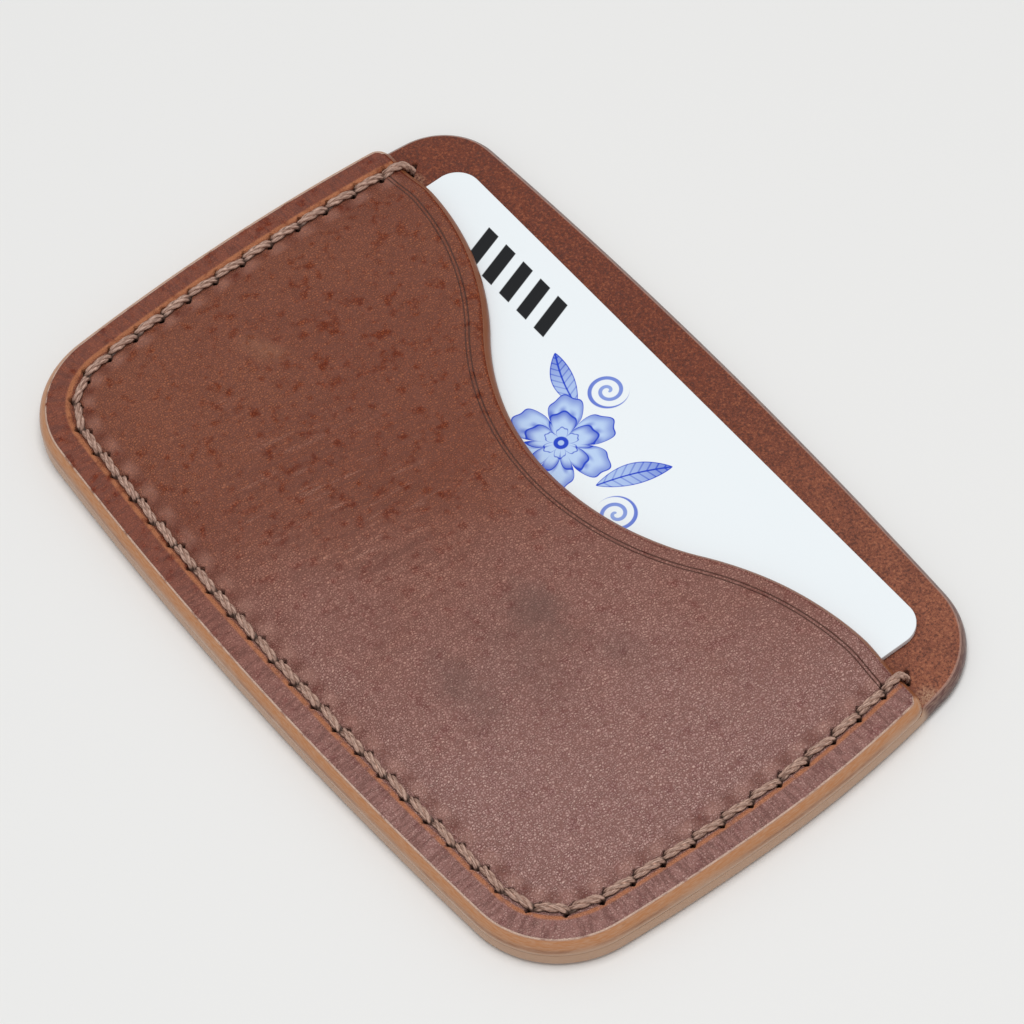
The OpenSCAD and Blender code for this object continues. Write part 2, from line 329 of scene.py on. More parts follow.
# %% [markdown]
# Leather is never quite flat, and the light shows it. Two kinds of unevenness are added to the heights:
# slow waves with no direction, and fine creases that run one way, where the panel has been flexed. Both
# are sums of sine waves with seeded phases, so they are the same in every run.

# %% Waves in the leather
def waves(points, wavelength, seed, toward=None, spread=180, count=14):
    """Sum of sine waves, about -1 to 1. toward and spread limit the waves' directions, in degrees."""
    rng = np.random.default_rng(seed)
    total = np.zeros(len(points))
    for _ in range(count):
        a = math.radians((toward or 0) + rng.uniform(-spread, spread))
        size = wavelength * rng.uniform(0.7, 1.5)
        phase = rng.uniform(0, 2 * math.pi)
        ahead = points[:, 0] * math.cos(a) + points[:, 1] * math.sin(a)
        total += np.sin(2 * math.pi * ahead / size + phase)
    return total / math.sqrt(count) / 1.2


def rise(x, start, end):
    """Soft step from 0 at start to 1 at end."""
    t = np.clip((x - start) / (end - start), 0, 1)
    return t * t * (3 - 2 * t)


def bump(x, middle, width):
    """1 at middle, falling to about a third at width from it."""
    return np.exp(-(((x - middle) / width) ** 2))


def seam_relief(points, groove_depth, hole_depth, seed, inner_pucker=0.0):
    """What the seam does to a leather face: groove, stitch holes and the dents that a tight thread pulls.

    The seam runs anticlockwise, so side is positive towards the middle of the wallet.
    """
    rng = np.random.default_rng(seed)
    side, run = measure(points, SEAM)
    nearest = np.rint(in_stitches(run)).astype(int)
    local = points - holes[nearest]
    along = local[:, 0] * np.cos(hole_turn[nearest]) + local[:, 1] * np.sin(hole_turn[nearest])
    across = -local[:, 0] * np.sin(hole_turn[nearest]) + local[:, 1] * np.cos(hole_turn[nearest])
    pull = rng.uniform(0.6, 1.3, hole_count)[nearest]
    groove = np.exp(-((np.abs(side) / 0.66) ** 4))
    slit = rise(-np.abs(along), -slit_l / 2 - 0.07, -slit_l / 2 + 0.13) * rise(-np.abs(across), -0.36, -0.14)
    near = np.exp(-((along / 1.15) ** 2) - (across / 0.75) ** 2)
    between = 0.5 - 0.5 * np.cos(2 * math.pi * in_stitches(run))
    dimple = between * rise(side, 0.2, 0.9) * np.exp(-np.maximum(side - 0.8, 0) / 1.5)
    height = -groove_depth * groove - 0.12 * pull * near - inner_pucker * pull * dimple
    return height - hole_depth * slit, slit, side, run


# %% [markdown]
# A leather skin is made in three parts that share their rims: a dense upper face, a rolled edge, and an
# underside. The faces are triangulated between points of my own choosing, close together where the
# leather has fine shape (round each hole, along the groove and along the crease) and wider elsewhere.
# A constrained Delaunay triangulation joins them and keeps the rim exactly where the rolled edge begins.

# %% Choosing points and filling a face
HOLE_REACH = 1.32  # radius of the dense spot round each hole
HOLE_STEP = 0.12
SEAM_REACH = 1.1  # how far the dense rows reach on each side of the seam


def hex_grid(spacing):
    rows = np.arange(-half_width, half_width, spacing * math.sqrt(3) / 2)
    cols = np.arange(-half_length, half_length, spacing)
    return np.array([(x + (spacing / 2 if j % 2 else 0), y) for j, y in enumerate(rows) for x in cols])


def hole_points(middles, reach, spacing):
    """Rings of points round each of the middles, out to reach."""
    rings = [np.zeros((1, 2))]
    for r in np.arange(spacing, reach + 1e-6, spacing):
        a = np.arange(0, 2 * math.pi, spacing / r)
        rings.append(np.column_stack([r * np.cos(a), r * np.sin(a)]))
    spot = np.vstack(rings)
    return np.vstack([spot + m for m in middles])


def seam_rows(reach, across, along):
    """Points on lines beside the seam, at both sides."""
    run = np.arange(0, seam_length, along)
    way = np.gradient(on_seam(run), axis=0)
    way /= np.hypot(*way.T)[:, None]
    left = np.column_stack([-way[:, 1], way[:, 0]])
    rows = [on_seam(run) + left * off for off in np.arange(-reach, reach + 1e-6, across)]
    return np.vstack(rows)


def fill_face(rim, inner):
    """Triangles that fill the closed line rim, using the inner points too. Returns points and faces."""
    flat = np.vstack([rim, inner])
    n = len(rim)
    loop = [(i, (i + 1) % n) for i in range(n)]
    made = delaunay_2d_cdt([Vector(p) for p in flat], loop, [], 0, 1e-5, True)
    verts, _, faces, origin = made[0], made[1], made[2], made[3]
    points = np.array([tuple(v) for v in verts])
    back_to = np.array([ids[0] if ids else -1 for ids in origin])
    order = np.full(len(flat), -1)
    order[back_to[back_to >= 0]] = np.nonzero(back_to >= 0)[0]
    used = np.full(len(points), -1)
    used[order[:n]] = np.arange(n)
    rest = np.setdiff1d(np.arange(len(points)), order[:n])
    used[rest] = n + np.arange(len(rest))
    sorted_points = np.vstack([points[order[:n]], points[rest]])
    triangles = used[np.array([list(f) for f in faces])]
    middles = sorted_points[triangles].mean(axis=1)
    triangles = triangles[measure(middles, rim, closed=True).away > 0]
    corner = sorted_points[triangles]
    turn = np.cross(corner[:, 1] - corner[:, 0], corner[:, 2] - corner[:, 0])
    triangles[turn < 0] = triangles[turn < 0][:, ::-1]
    return sorted_points, triangles


def clear_of_seam(points, from_seam, from_hole):
    """True for the points that lie further than that from the seam's line and from every hole."""
    return (np.abs(measure(points, SEAM).away) > from_seam) & (gap_to(points, holes) > from_hole)


def face_points(rim_points, spacing, rows, margin, keep=None):
    """Points for a face: hole spots, the given rows, rows beside the seam and a hex grid in what is left."""
    chosen = [hole_points(holes, HOLE_REACH, HOLE_STEP)]
    for extra in rows:
        chosen.append(extra[clear_of_seam(extra, SEAM_REACH + 0.1, HOLE_REACH + 0.08)])
    beside = seam_rows(SEAM_REACH, 0.22, 0.3)
    chosen.append(beside[gap_to(beside, holes) > HOLE_REACH + 0.08])
    grid = hex_grid(spacing)
    grid = grid[clear_of_seam(grid, SEAM_REACH + 0.15, HOLE_REACH + 0.13)]
    if keep is not None:
        grid = grid[keep(grid)]
    chosen.append(grid)
    points = np.vstack(chosen)
    inside = measure(points, rim_points, closed=True).away
    return points[inside > margin]


# %% [markdown]
# The rolled edge is a stack of rings. Each station on the rim steps down through the same profile: a
# quarter round from the upper face to the wall, then the wall, then a smaller round to the underside.
# The radii may differ from station to station, because the outer edge is sanded rounder than the mouth.
# An edge beveller cuts a slanting facet along the upper arris, and the slicker then rounds it: a crisp
# arris, a slope, a soft turn.

# %% From points to a closed skin
# Each pair is an inset and a drop from the upper face, in shares of the edge's radius.
QUARTER_ROUND = [(1 - math.sin(a), 1 - math.cos(a)) for a in np.radians([18, 36, 54, 72, 90])]
BEVELLED = [(0.95, 0.01), (0.89, 0.035), (0.82, 0.08), (0.73, 0.15), (0.58, 0.28), (0.42, 0.43), (0.27, 0.62)]
BEVELLED += [(0.14, 0.84), (0.05, 1.08), (0.0, 1.36)]


def rolled_edge(edge, top_z, top_r, low_z, low_r, profile=QUARTER_ROUND, belly=0.03):
    """Rings of 3D points from just under the upper rim to just above the lower one."""
    rings = []
    for inset, drop in profile:
        rings.append(np.column_stack([edge.line(top_r * inset), top_z - top_r * drop]))
    middle = (top_z - top_r * profile[-1][1] + low_z + low_r) / 2
    rings.append(np.column_stack([edge.line(np.full(len(edge.radius), -belly)), middle]))
    for a in np.linspace(0, math.pi / 2, 5)[:-1]:
        inset = low_r * (1 - math.cos(a))
        rings.append(np.column_stack([edge.line(inset), low_z + low_r * (1 - math.sin(a))]))
    return rings


def closed_skin(name, top, top_faces, rings, under, under_faces):
    """One closed mesh. The first points of top and under are their rims, station by station."""
    n = len(rings[0])
    blocks = [top] + rings + [under]
    starts = np.cumsum([0] + [len(b) for b in blocks])
    here = np.arange(n)
    ahead = (here + 1) % n
    quads = []
    for upper, lower in zip(starts[:-2], starts[1:-1]):
        quads.append(np.column_stack([upper + ahead, upper + here, lower + here, lower + ahead]))
    quads = np.vstack(quads)
    tris = np.vstack([top_faces, under_faces[:, ::-1] + starts[-2]])
    mesh = bpy.data.meshes.new(name)
    mesh.from_pydata((np.vstack(blocks) * MM).tolist(), [], tris.tolist() + quads.tolist())
    mesh.shade_smooth()
    piece = bpy.data.objects.new(name, mesh)
    bpy.context.scene.collection.objects.link(piece)
    return piece, starts


def store(piece, name, values):
    """Saves one number per vertex for the materials to read."""
    layer = piece.data.attributes.new(name, "FLOAT", "POINT")
    layer.data.foreach_set("value", np.asarray(values, dtype=np.float32))


def store_faces(piece, starts, name, top=None, elsewhere=0.0, on_rings=None, under=None):
    """Saves numbers for the upper face, for every ring and for the underside, where they are given."""
    values = np.full(len(piece.data.vertices), float(elsewhere))
    if top is not None:
        values[: starts[1]] = top
    if on_rings is not None:
        values[starts[1]:starts[-2]] = np.tile(on_rings, len(starts) - 3)
    if under is not None:
        values[starts[-2]:] = under
    store(piece, name, values)


def store_wall(piece, starts, profile):
    """Saves "wall": 0 on the faces, rising over the rounded arris to 1 on the upright edge."""
    ring_count = len(starts) - 3
    levels = [1 - inset for inset, _ in profile]
    levels += [1.0] * (ring_count - len(levels))
    values = np.zeros(len(piece.data.vertices))
    for k, level in enumerate(levels):
        values[starts[k + 1]:starts[k + 2]] = level
    store(piece, "wall", values)


print("the bevelled edge is rolled in", len(BEVELLED), "steps, a plain one in", len(QUARTER_ROUND))


# %% [markdown]
# ## The front panel
#
# Its upper face is the part people look at. It starts from the height round the seam and swells over the
# card, sinks along the seam, dips at each hole, and is pressed with a double crease beside the mouth. The
# crease is a decoration and a stiffener: it is run in with a hot iron while the leather is damp.

# %% Front panel: heights
CREASE_AT = 2.35  # from the mouth to the first line of the double crease
CREASE_2_AT = CREASE_AT + 0.44
CREASE_WIDTH, CREASE_DEPTH = 0.10, 0.10
FRONT_GROOVE = 0.30  # depth of the groove that the front stitches lie in


def front_top(points):
    inset = inside_outline(points)
    from_mouth = inside_mouth(points)
    seam, slit, side, run = seam_relief(points, FRONT_GROOVE, 0.95, seed=5, inner_pucker=0.26)
    swell = card_lift * rise(inset, seam_inset + 0.7, seam_inset + 6.2)
    border = -0.16 * (1 - rise(inset, 1.0, 3.4))
    crease_end = rise(-np.abs(points[:, 0]), -46.9, -45.6)
    crease = bump(from_mouth, CREASE_AT, CREASE_WIDTH) + 0.8 * bump(from_mouth, CREASE_2_AT, CREASE_WIDTH)
    lip = 0.10 * bump(from_mouth, 0.6, 1.0)
    slow = 0.055 * waves(points, 26, seed=11) + 0.02 * waves(points, 9, seed=12)
    flexed = bump(points[:, 0], -5, 15) * bump(points[:, 1], -13, 8)
    fine = 0.010 * waves(points, 1.5, seed=13, toward=-12, spread=16, count=24) * flexed
    beside_seam = np.column_stack([run, side * 0.25])
    wrinkles = 0.014 * waves(beside_seam, 1.5, seed=14, toward=0, spread=12, count=20)
    border_wrinkles = wrinkles * bump(side, -2.1, 1.2)
    height = seam_z + swell + border + seam - CREASE_DEPTH * crease * crease_end - lip
    height += slow * rise(inset, 4.5, 9) + fine + border_wrinkles
    return height, slit, side, inset, from_mouth


def front_under(points):
    inset = inside_outline(points)
    return back_t + card_lift * rise(inset, seam_inset + 0.9, seam_inset + 3.1)


# %% [markdown]
# The mouth's crease needs its own rows of points, closer together than the crease is wide. They are
# insets of the mouth's chain of arcs, so they follow it exactly.

# %% Front panel: mesh
def front_panel_skin():
    outer_r, mouth_r = 1.05, 0.85
    rim0 = front_edge.line(0)
    at_mouth = rise(-np.abs(inside_mouth(rim0)), -0.6, -0.05) * (rim0[:, 1] > 0)
    top_r = outer_r + (mouth_r - outer_r) * at_mouth
    low_r = 0.04 + 0.31 * at_mouth
    rim = front_edge.line(top_r)
    crease_insets = np.arange(CREASE_AT - 0.35, CREASE_2_AT + 0.38, 0.07)
    crease_rows = np.vstack([mouth_edge.line(inset) for inset in crease_insets])
    edge_rows = np.vstack([front_edge.line(inset) for inset in (1.22, 1.5)])

    def off_crease(points):
        from_mouth = inside_mouth(points)
        return (np.abs(from_mouth - (CREASE_AT + CREASE_2_AT) / 2) > 0.7) | (np.abs(points[:, 0]) > 50)

    spacing = 0.42
    inner = face_points(rim, spacing, [crease_rows, edge_rows], 0.15, off_crease)
    top_xy, top_faces = fill_face(rim, inner)
    height, slit, side, inset, from_mouth = front_top(top_xy)
    top = np.column_stack([top_xy, height])
    rim_n = len(rim)
    low_rim = front_edge.line(low_r)
    coarse = hex_grid(2.0)
    coarse = coarse[measure(coarse, low_rim, closed=True).away > 0.8]
    under_xy, under_faces = fill_face(low_rim, coarse)
    under = np.column_stack([under_xy, front_under(under_xy)])
    rings = rolled_edge(front_edge, height[:rim_n], top_r, under[:rim_n, 2], low_r, BEVELLED)
    piece, starts = closed_skin("front_leather", top, top_faces, rings, under, under_faces)
    run = measure(top_xy, SEAM).run
    store_wall(piece, starts, BEVELLED)
    store_faces(piece, starts, "hole", slit, 0)
    store_faces(piece, starts, "seam_side", side, -9)
    store_faces(piece, starts, "from_mouth", np.maximum(from_mouth, 0), 0)
    store_faces(piece, starts, "seam_run", run, 0, run[:rim_n])
    store_faces(piece, starts, "stitch", in_stitches(run), 0)
    top_mouth = np.zeros(len(top_xy))
    top_mouth[:rim_n] = at_mouth
    store_faces(piece, starts, "at_mouth", top_mouth, 0, at_mouth)
    return piece


front = front_panel_skin()
print("front leather:", len(front.data.vertices), "vertices,", len(front.data.polygons), "faces")

# %% [markdown]
# ## The back panel
#
# The same recipe, with the fine shape on the underside: that is where the back stitches lie, sunk flush
# so that the wallet sits flat. Above, only the rim beyond the mouth shows, with the two lock holes.

# %% Back panel: mesh
def level_at(x):
    """Height at which the mouth ends on each side of the wallet."""
    return np.where(x < 0, mouth_high_left, mouth_high)


def back_under(points):
    """Height of the underside, and the mask of the stitch holes."""
    relief, slit, side, _ = seam_relief(points, 0.62, 0.5, seed=21, inner_pucker=0.06)
    return -relief + 0.02 * (1 + waves(points, 22, seed=22)), slit, side


def back_top(points):
    """Height of the upper face, shaped only where it shows, and the mask of the lock holes."""
    relief, slit, _, _ = seam_relief(points, 0.0, 0.8, seed=23)
    exposed = rise(points[:, 1] - level_at(points[:, 0]), -0.4, 0.4) + rise(-inside_mouth(points), -0.4, 0.4)
    exposed = np.clip(exposed, 0, 1)
    slow = 0.015 * waves(points, 18, seed=24)
    border = -0.12 * (1 - rise(inside_outline(points), 0.7, 2.6))
    return back_t + exposed * (relief + border) - 0.03 + slow, slit * exposed


def back_panel_skin():
    rim0 = back_edge.line(0)
    bare = rise(rim0[:, 1] - level_at(rim0[:, 0]), -1.2, 0.3)
    top_r = 0.04 + 0.76 * bare
    rim = back_edge.line(top_r)
    upper = hex_grid(0.45)
    shown = upper[(upper[:, 1] > 7) & (inside_mouth(upper) < 2)]
    hidden = hex_grid(2.2)
    hidden = hidden[(hidden[:, 1] < 6) | (inside_mouth(hidden) > 3.2)]
    lock_holes = holes[[0, -1]]
    spots = hole_points(lock_holes, 1.3, 0.13)
    rings_in = np.vstack([back_edge.line(d)[bare > 0.3] for d in (1.0, 1.3)])
    inner = np.vstack([shown[gap_to(shown, lock_holes) > 1.45], hidden, spots, rings_in])
    inside = measure(inner, rim, closed=True).away
    inner = inner[inside > 0.15]
    top_xy, top_faces = fill_face(rim, inner)
    height, top_slit = back_top(top_xy)
    low_r = 0.65
    low_rim = back_edge.line(low_r)
    under_inner = face_points(low_rim, 0.7, [back_edge.line(1.0)], 0.2)
    under_xy, under_faces = fill_face(low_rim, under_inner)
    under_z, slit, side = back_under(under_xy)
    top = np.column_stack([top_xy, height])
    under = np.column_stack([under_xy, under_z])
    n = len(rim)
    rings = rolled_edge(back_edge, height[:n], top_r, under_z[:n], low_r, BEVELLED)
    piece, starts = closed_skin("back_leather", top, top_faces, rings, under, under_faces)
    rim_run = measure(rim, SEAM).run
    store_wall(piece, starts, BEVELLED)
    store_faces(piece, starts, "hole", top_slit, 0, None, slit)
    store_faces(piece, starts, "seam_side", None, -9, None, side)
    store_faces(piece, starts, "seam_run", None, 0, rim_run, measure(under_xy, SEAM).run)
    return piece


back = back_panel_skin()
print("back leather:", len(back.data.vertices), "vertices,", len(back.data.polygons), "faces")


# %% [markdown]
# ## The thread
#
# Waxed linen is three plies twisted together. One stitch is a short rope: three round tubes that wind
# round a path, each with both ends turned down into the leather. The same function makes the two lock
# stitches, which have a path of their own because they climb down over the mouth's edge.

# %% A rope of three plies
STRAND_OFFSET = 0.16  # from the middle of a hole to where a strand passes through it, along the slit
PLY_SIDES = 8
PLY_OFF, PLY_R = 0.265, 0.275  # how far a ply winds from the rope's middle, and its radius, as shares of size
SPREAD, PRESSED = 1.12, 0.9  # a tight rope spreads sideways and is pressed flat


def rope(path, size, turns, phase, steps):
    """Three plies twisted round path, which lies in the XZ plane. Returns points, faces, turn and run."""
    path = np.asarray(path, float)
    leg = np.concatenate([[0], np.cumsum(np.hypot(*np.diff(path, axis=0).T[[0, 2]]))])
    run = np.linspace(0, leg[-1], steps)
    centre = np.column_stack([np.interp(run, leg, path[:, i]) for i in range(3)])
    for _ in range(3):
        centre[1:-1] = (centre[:-2] + 2 * centre[1:-1] + centre[2:]) / 4
    ahead = np.gradient(centre, axis=0)
    ahead /= np.linalg.norm(ahead, axis=1)[:, None]
    side = np.tile([0.0, 1.0, 0.0], (steps, 1))
    up = np.cross(ahead, side)
    around = np.arange(PLY_SIDES) * 2 * math.pi / PLY_SIDES
    points, faces, turn, along = [], [], [], []
    for ply in range(3):
        wound = 2 * math.pi * (turns * run / leg[-1] + phase + ply / 3)
        out = SPREAD * np.cos(wound)[:, None] * side + PRESSED * np.sin(wound)[:, None] * up
        middle = centre + PLY_OFF * size * out
        start = len(points) * steps * PLY_SIDES
        ring = np.cos(around)[None, :, None] * side[:, None] + np.sin(around)[None, :, None] * up[:, None]
        points.append((middle[:, None] + PLY_R * size * ring).reshape(-1, 3))
        for i in range(steps - 1):
            for j in range(PLY_SIDES):
                a, b = start + i * PLY_SIDES + j, start + i * PLY_SIDES + (j + 1) % PLY_SIDES
                faces.append((a, a + PLY_SIDES, b + PLY_SIDES, b))
        faces.append(tuple(start + j for j in range(PLY_SIDES)))
        faces.append(tuple(start + (steps - 1) * PLY_SIDES + j for j in reversed(range(PLY_SIDES))))
        turn.append(np.tile(around + 2 * math.pi * ply / 3, steps))
        along.append(np.repeat(run, PLY_SIDES))
    return np.vstack(points), faces, np.concatenate(turn), np.concatenate(along)


def rope_object(name, points, faces, turn, along):
    mesh = bpy.data.meshes.new(name)
    mesh.from_pydata((points * MM).tolist(), [], faces)
    mesh.shade_smooth()
    made = bpy.data.objects.new(name, mesh)
    store(made, "ply_turn", turn)
    store(made, "ply_run", along)
    return made


stitch_across = 2 * STRAND_OFFSET * math.sin(slit_angle)
stitch_along = pitch - 2 * STRAND_OFFSET * math.cos(slit_angle)
lean = math.atan2(stitch_across, stitch_along)
reach = math.hypot(stitch_across, stitch_along)
print("each stitch is", round(reach, 2), "mm long and leans", round(math.degrees(lean), 1), "degrees")

# %% [markdown]
# Forty-six nearly equal stitches on the front and forty-eight on the back follow the seam, so Geometry
# Nodes lay them. The tree takes a line whose vertices are the holes: each of its pieces becomes one
# stitch, turned along the piece and leaning a little, with one of four twists picked by a seeded random
# number. Three short functions keep the tree readable: they place a Math node or a random number.

# %% The stitches' node tree
TWISTS = 4


def stitch_tree():
    tree = bpy.data.node_groups.new("saddle stitches", "GeometryNodeTree")
    inputs = {"Geometry": "Geometry", "Stitch shapes": "Collection", "Lean": "Float", "Lean jitter": "Float",
              "Size jitter": "Float", "Seed": "Int", "Material": "Material"}
    for label, kind in inputs.items():
        tree.interface.new_socket(label, in_out="INPUT", socket_type="NodeSocket" + kind)
    tree.interface.new_socket("Geometry", in_out="OUTPUT", socket_type="NodeSocketGeometry")
    node, link = tree.nodes.new, tree.links.new
    given = node("NodeGroupInput").outputs
    result = node("NodeGroupOutput")

    def calculate(operation, first, second):
        made = node("ShaderNodeMath")
        made.operation = operation
        for slot_in, value in zip(made.inputs, (first, second)):
            if isinstance(value, bpy.types.NodeSocket):
                link(value, slot_in)
            else:
                slot_in.default_value = value
        return made.outputs[0]

    def random_size(least, most):
        made = node("FunctionNodeRandomValue")
        made.data_type = "FLOAT"
        link(least, made.inputs[2])
        link(most, made.inputs[3])
        link(given["Seed"], made.inputs["Seed"])
        return made.outputs[1]

    def random_choice(count):
        made = node("FunctionNodeRandomValue")
        made.data_type = "INT"
        made.inputs[4].default_value = 0
        made.inputs[5].default_value = count - 1
        link(given["Seed"], made.inputs["Seed"])
        return made.outputs[2]

    # One point in the middle of each piece of the line, which keeps the piece's direction.
    ends = node("GeometryNodeInputMeshEdgeVertices")
    way = node("ShaderNodeVectorMath")
    way.operation = "SUBTRACT"
    link(ends.outputs["Position 2"], way.inputs[0])
    link(ends.outputs["Position 1"], way.inputs[1])
    keep = node("GeometryNodeCaptureAttribute")
    keep.domain = "EDGE"
    keep.capture_items.new("VECTOR", "way")
    link(given["Geometry"], keep.inputs["Geometry"])
    link(way.outputs["Vector"], keep.inputs["way"])
    spots = node("GeometryNodeMeshToPoints")
    spots.mode = "EDGES"
    link(keep.outputs["Geometry"], spots.inputs["Mesh"])

    # The stitch is turned along the piece, and then by its lean, which differs a little each time.
    along = node("FunctionNodeAlignRotationToVector")
    along.axis = "X"
    link(keep.outputs["way"], along.inputs["Vector"])
    wobble = random_size(calculate("MULTIPLY", given["Lean jitter"], -1), given["Lean jitter"])
    turned = node("FunctionNodeAxisAngleToRotation")
    turned.inputs["Axis"].default_value = (0, 0, 1)
    link(calculate("ADD", given["Lean"], wobble), turned.inputs["Angle"])
    facing = node("FunctionNodeRotateRotation")
    facing.rotation_space = "LOCAL"
    link(along.outputs["Rotation"], facing.inputs["Rotation"])
    link(turned.outputs["Rotation"], facing.inputs["Rotate By"])

    # Its thickness differs a little too, and its length doesn't.
    thickness = random_size(
        calculate("SUBTRACT", 1, given["Size jitter"]),
        calculate("ADD", 1, given["Size jitter"]),
    )
    scale = node("ShaderNodeCombineXYZ")
    scale.inputs["X"].default_value = 1
    link(thickness, scale.inputs["Y"])
    link(thickness, scale.inputs["Z"])

    shapes = node("GeometryNodeCollectionInfo")
    shapes.inputs["Separate Children"].default_value = True
    shapes.inputs["Reset Children"].default_value = True
    link(given["Stitch shapes"], shapes.inputs["Collection"])
    lay = node("GeometryNodeInstanceOnPoints")
    lay.inputs["Pick Instance"].default_value = True
    link(spots.outputs["Points"], lay.inputs["Points"])
    link(shapes.outputs["Instances"], lay.inputs["Instance"])
    link(random_choice(TWISTS), lay.inputs["Instance Index"])
    link(facing.outputs["Rotation"], lay.inputs["Rotation"])
    link(scale.outputs["Vector"], lay.inputs["Scale"])
    real = node("GeometryNodeRealizeInstances")
    paint = node("GeometryNodeSetMaterial")
    link(lay.outputs["Instances"], real.inputs["Geometry"])
    link(real.outputs["Geometry"], paint.inputs["Geometry"])
    link(given["Material"], paint.inputs["Material"])
    link(paint.outputs["Geometry"], result.inputs["Geometry"])
    return tree


stitches = stitch_tree()
print("stitch tree:", len(stitches.nodes), "nodes")

# %% [markdown]
# A modifier's inputs are set by each socket's identifier, before anything evaluates the object. The
# result is then copied out as a plain mesh, because an exporter knows meshes and not node trees.

# %% Laying the stitches
waxed_linen = bpy.data.materials.new("waxed linen thread")


def twisted_shapes(name, path, size, turns, steps):
    """The same stitch with its plies starting at different turns, in a collection."""
    box = bpy.data.collections.new(name)
    for i in range(TWISTS):
        box.objects.link(rope_object(f"{name}_{i}", *rope(path, size, turns, i / TWISTS + 0.06, steps)))
    return box


def lay_stitches(name, line, shapes, settings):
    """One mesh with a stitch on every piece of the line."""
    mesh = bpy.data.meshes.new(name)
    mesh.from_pydata((line * MM).tolist(), [(i, i + 1) for i in range(len(line) - 1)], [])
    guide = bpy.data.objects.new(name, mesh)
    bpy.context.scene.collection.objects.link(guide)
    modifier = guide.modifiers.new("stitches", "NODES")
    modifier.node_group = stitches
    values = {"Stitch shapes": shapes, "Material": waxed_linen, **settings}
    for socket in stitches.interface.items_tree:
        if socket.in_out == "INPUT" and socket.name in values:
            modifier[socket.identifier] = values[socket.name]
    scene_now = bpy.context.evaluated_depsgraph_get()
    laid = bpy.data.meshes.new_from_object(guide.evaluated_get(scene_now))
    bpy.data.objects.remove(guide)
    return laid


half = reach / 2
first_half = [
    (-half - 0.12, 0, -1.3),
    (-half - 0.05, 0, -0.75),
    (-half + 0.16, 0, -0.22),
    (-half + 0.5, 0, -0.02),
]
front_path = first_half + [(0, 0, 0.05)] + [(-x, y, z) for x, y, z in reversed(first_half)]
back_path = [(x, y, -z * 0.8) for x, y, z in front_path]
front_shapes = twisted_shapes("front_stitch", front_path, thread_d * 1.14, 1.25, 17)
back_shapes = twisted_shapes("back_stitch", back_path, thread_d * 1.04, 1.25, 13)

front_z = seam_z - FRONT_GROOVE + thread_d / 2 - 0.06
back_z = 0.5
front_line = np.column_stack([holes[1:-1], np.full(hole_count - 2, front_z)])
back_line = np.column_stack([holes, np.full(hole_count, back_z)])
front_laid = lay_stitches("front_stitches", front_line, front_shapes,
                          {"Lean": -lean, "Lean jitter": 0.05, "Size jitter": 0.07, "Seed": 3})
back_laid = lay_stitches("back_stitches", back_line, back_shapes,
                         {"Lean": lean, "Lean jitter": 0.04, "Size jitter": 0.05, "Seed": 8})
print("front stitches:", len(front_laid.polygons), "faces; back stitches:", len(back_laid.polygons), "faces")

# %% [markdown]
# The lock stitch comes up through the last hole of the front panel, runs to the mouth, bends over its
# rolled edge and goes down through the back panel. It is pulled tight, so it hugs the edge.

# %% Lock stitches
def lock_stitch(side_of_wallet):
    """side_of_wallet is 1 for the right end and -1 for the left one."""
    start, end = (holes[-2], holes[-1]) if side_of_wallet > 0 else (holes[1], holes[0])
    span = np.hypot(*(end - start))
    edge = span - lock_overlap
    out_of_hole = [(0.12, 0, front_z - 1.3), (0.16, 0, front_z - 0.7), (0.4, 0, front_z - 0.16)]
    along_top = [(0.8, 0, front_z + 0.03), (1.5, 0, front_z + 0.08), (edge - 0.75, 0, front_z)]
    over_edge = [(edge - 0.2, 0, front_z - 0.25), (edge + 0.2, 0, front_z - 0.75)]
    over_edge += [(edge + 0.42, 0, front_z - 1.25), (edge + 0.6, 0, back_t + 0.45)]
    into_back = [(span - 0.2, 0, back_t + 0.1), (span - 0.06, 0, back_t - 0.35), (span, 0, back_t - 0.9)]
    path = out_of_hole + along_top + over_edge + into_back
    points, faces, turn, along = rope(path, thread_d * 1.2, 1.6, 0.2, 26)
    way = (end - start) / span
    left = np.array([-way[1], way[0]])
    flat = start + points[:, :1] * way + points[:, 1:2] * left
    placed = np.column_stack([flat, points[:, 2]])
    return rope_object("lock", placed, faces, turn, along)


def join(name, meshes):
    """One object out of several meshes that all lie in place already."""
    bpy.ops.object.select_all(action="DESELECT")
    parts = []
    for mesh in meshes:
        part = bpy.data.objects.new(name, mesh)
        bpy.context.scene.collection.objects.link(part)
        parts.append(part)
    for part in parts:
        part.select_set(True)
    bpy.context.view_layer.objects.active = parts[0]
    bpy.ops.object.join()
    parts[0].name = name
    return parts[0]


thread = join("thread", [front_laid, back_laid, lock_stitch(1).data, lock_stitch(-1).data])
thread.data.materials.clear()
thread.data.materials.append(waxed_linen)
thread.data.shade_smooth()
print("thread:", sum(len(f.vertices) - 2 for f in thread.data.polygons), "triangles")

# %% [markdown]
# ## The card
#
# A bank card is a laminated plate with the world's best-known size. Its printed faces are flat and its
# cut edge is only just eased, so the skin is the same stack of rings as for the leather, with tiny radii.

# %% Card mesh
cx, cy = card_l / 2 - card_r, card_w / 2 - card_r
card_mid = np.array([(card_low[0] + card_high[0]) / 2, (card_low[1] + card_high[1]) / 2])
corners = [(cx, cy, 0), (-cx, cy, 90), (-cx, -cy, 180), (cx, -cy, 270)]
TURN = 89.99  # a hair under a right angle
card_arcs = [Arc((card_mid[0] + x, card_mid[1] + y), card_r, a, a + TURN) for x, y, a in corners]
card_edge = Edge(card_arcs, 0.25, left=1)


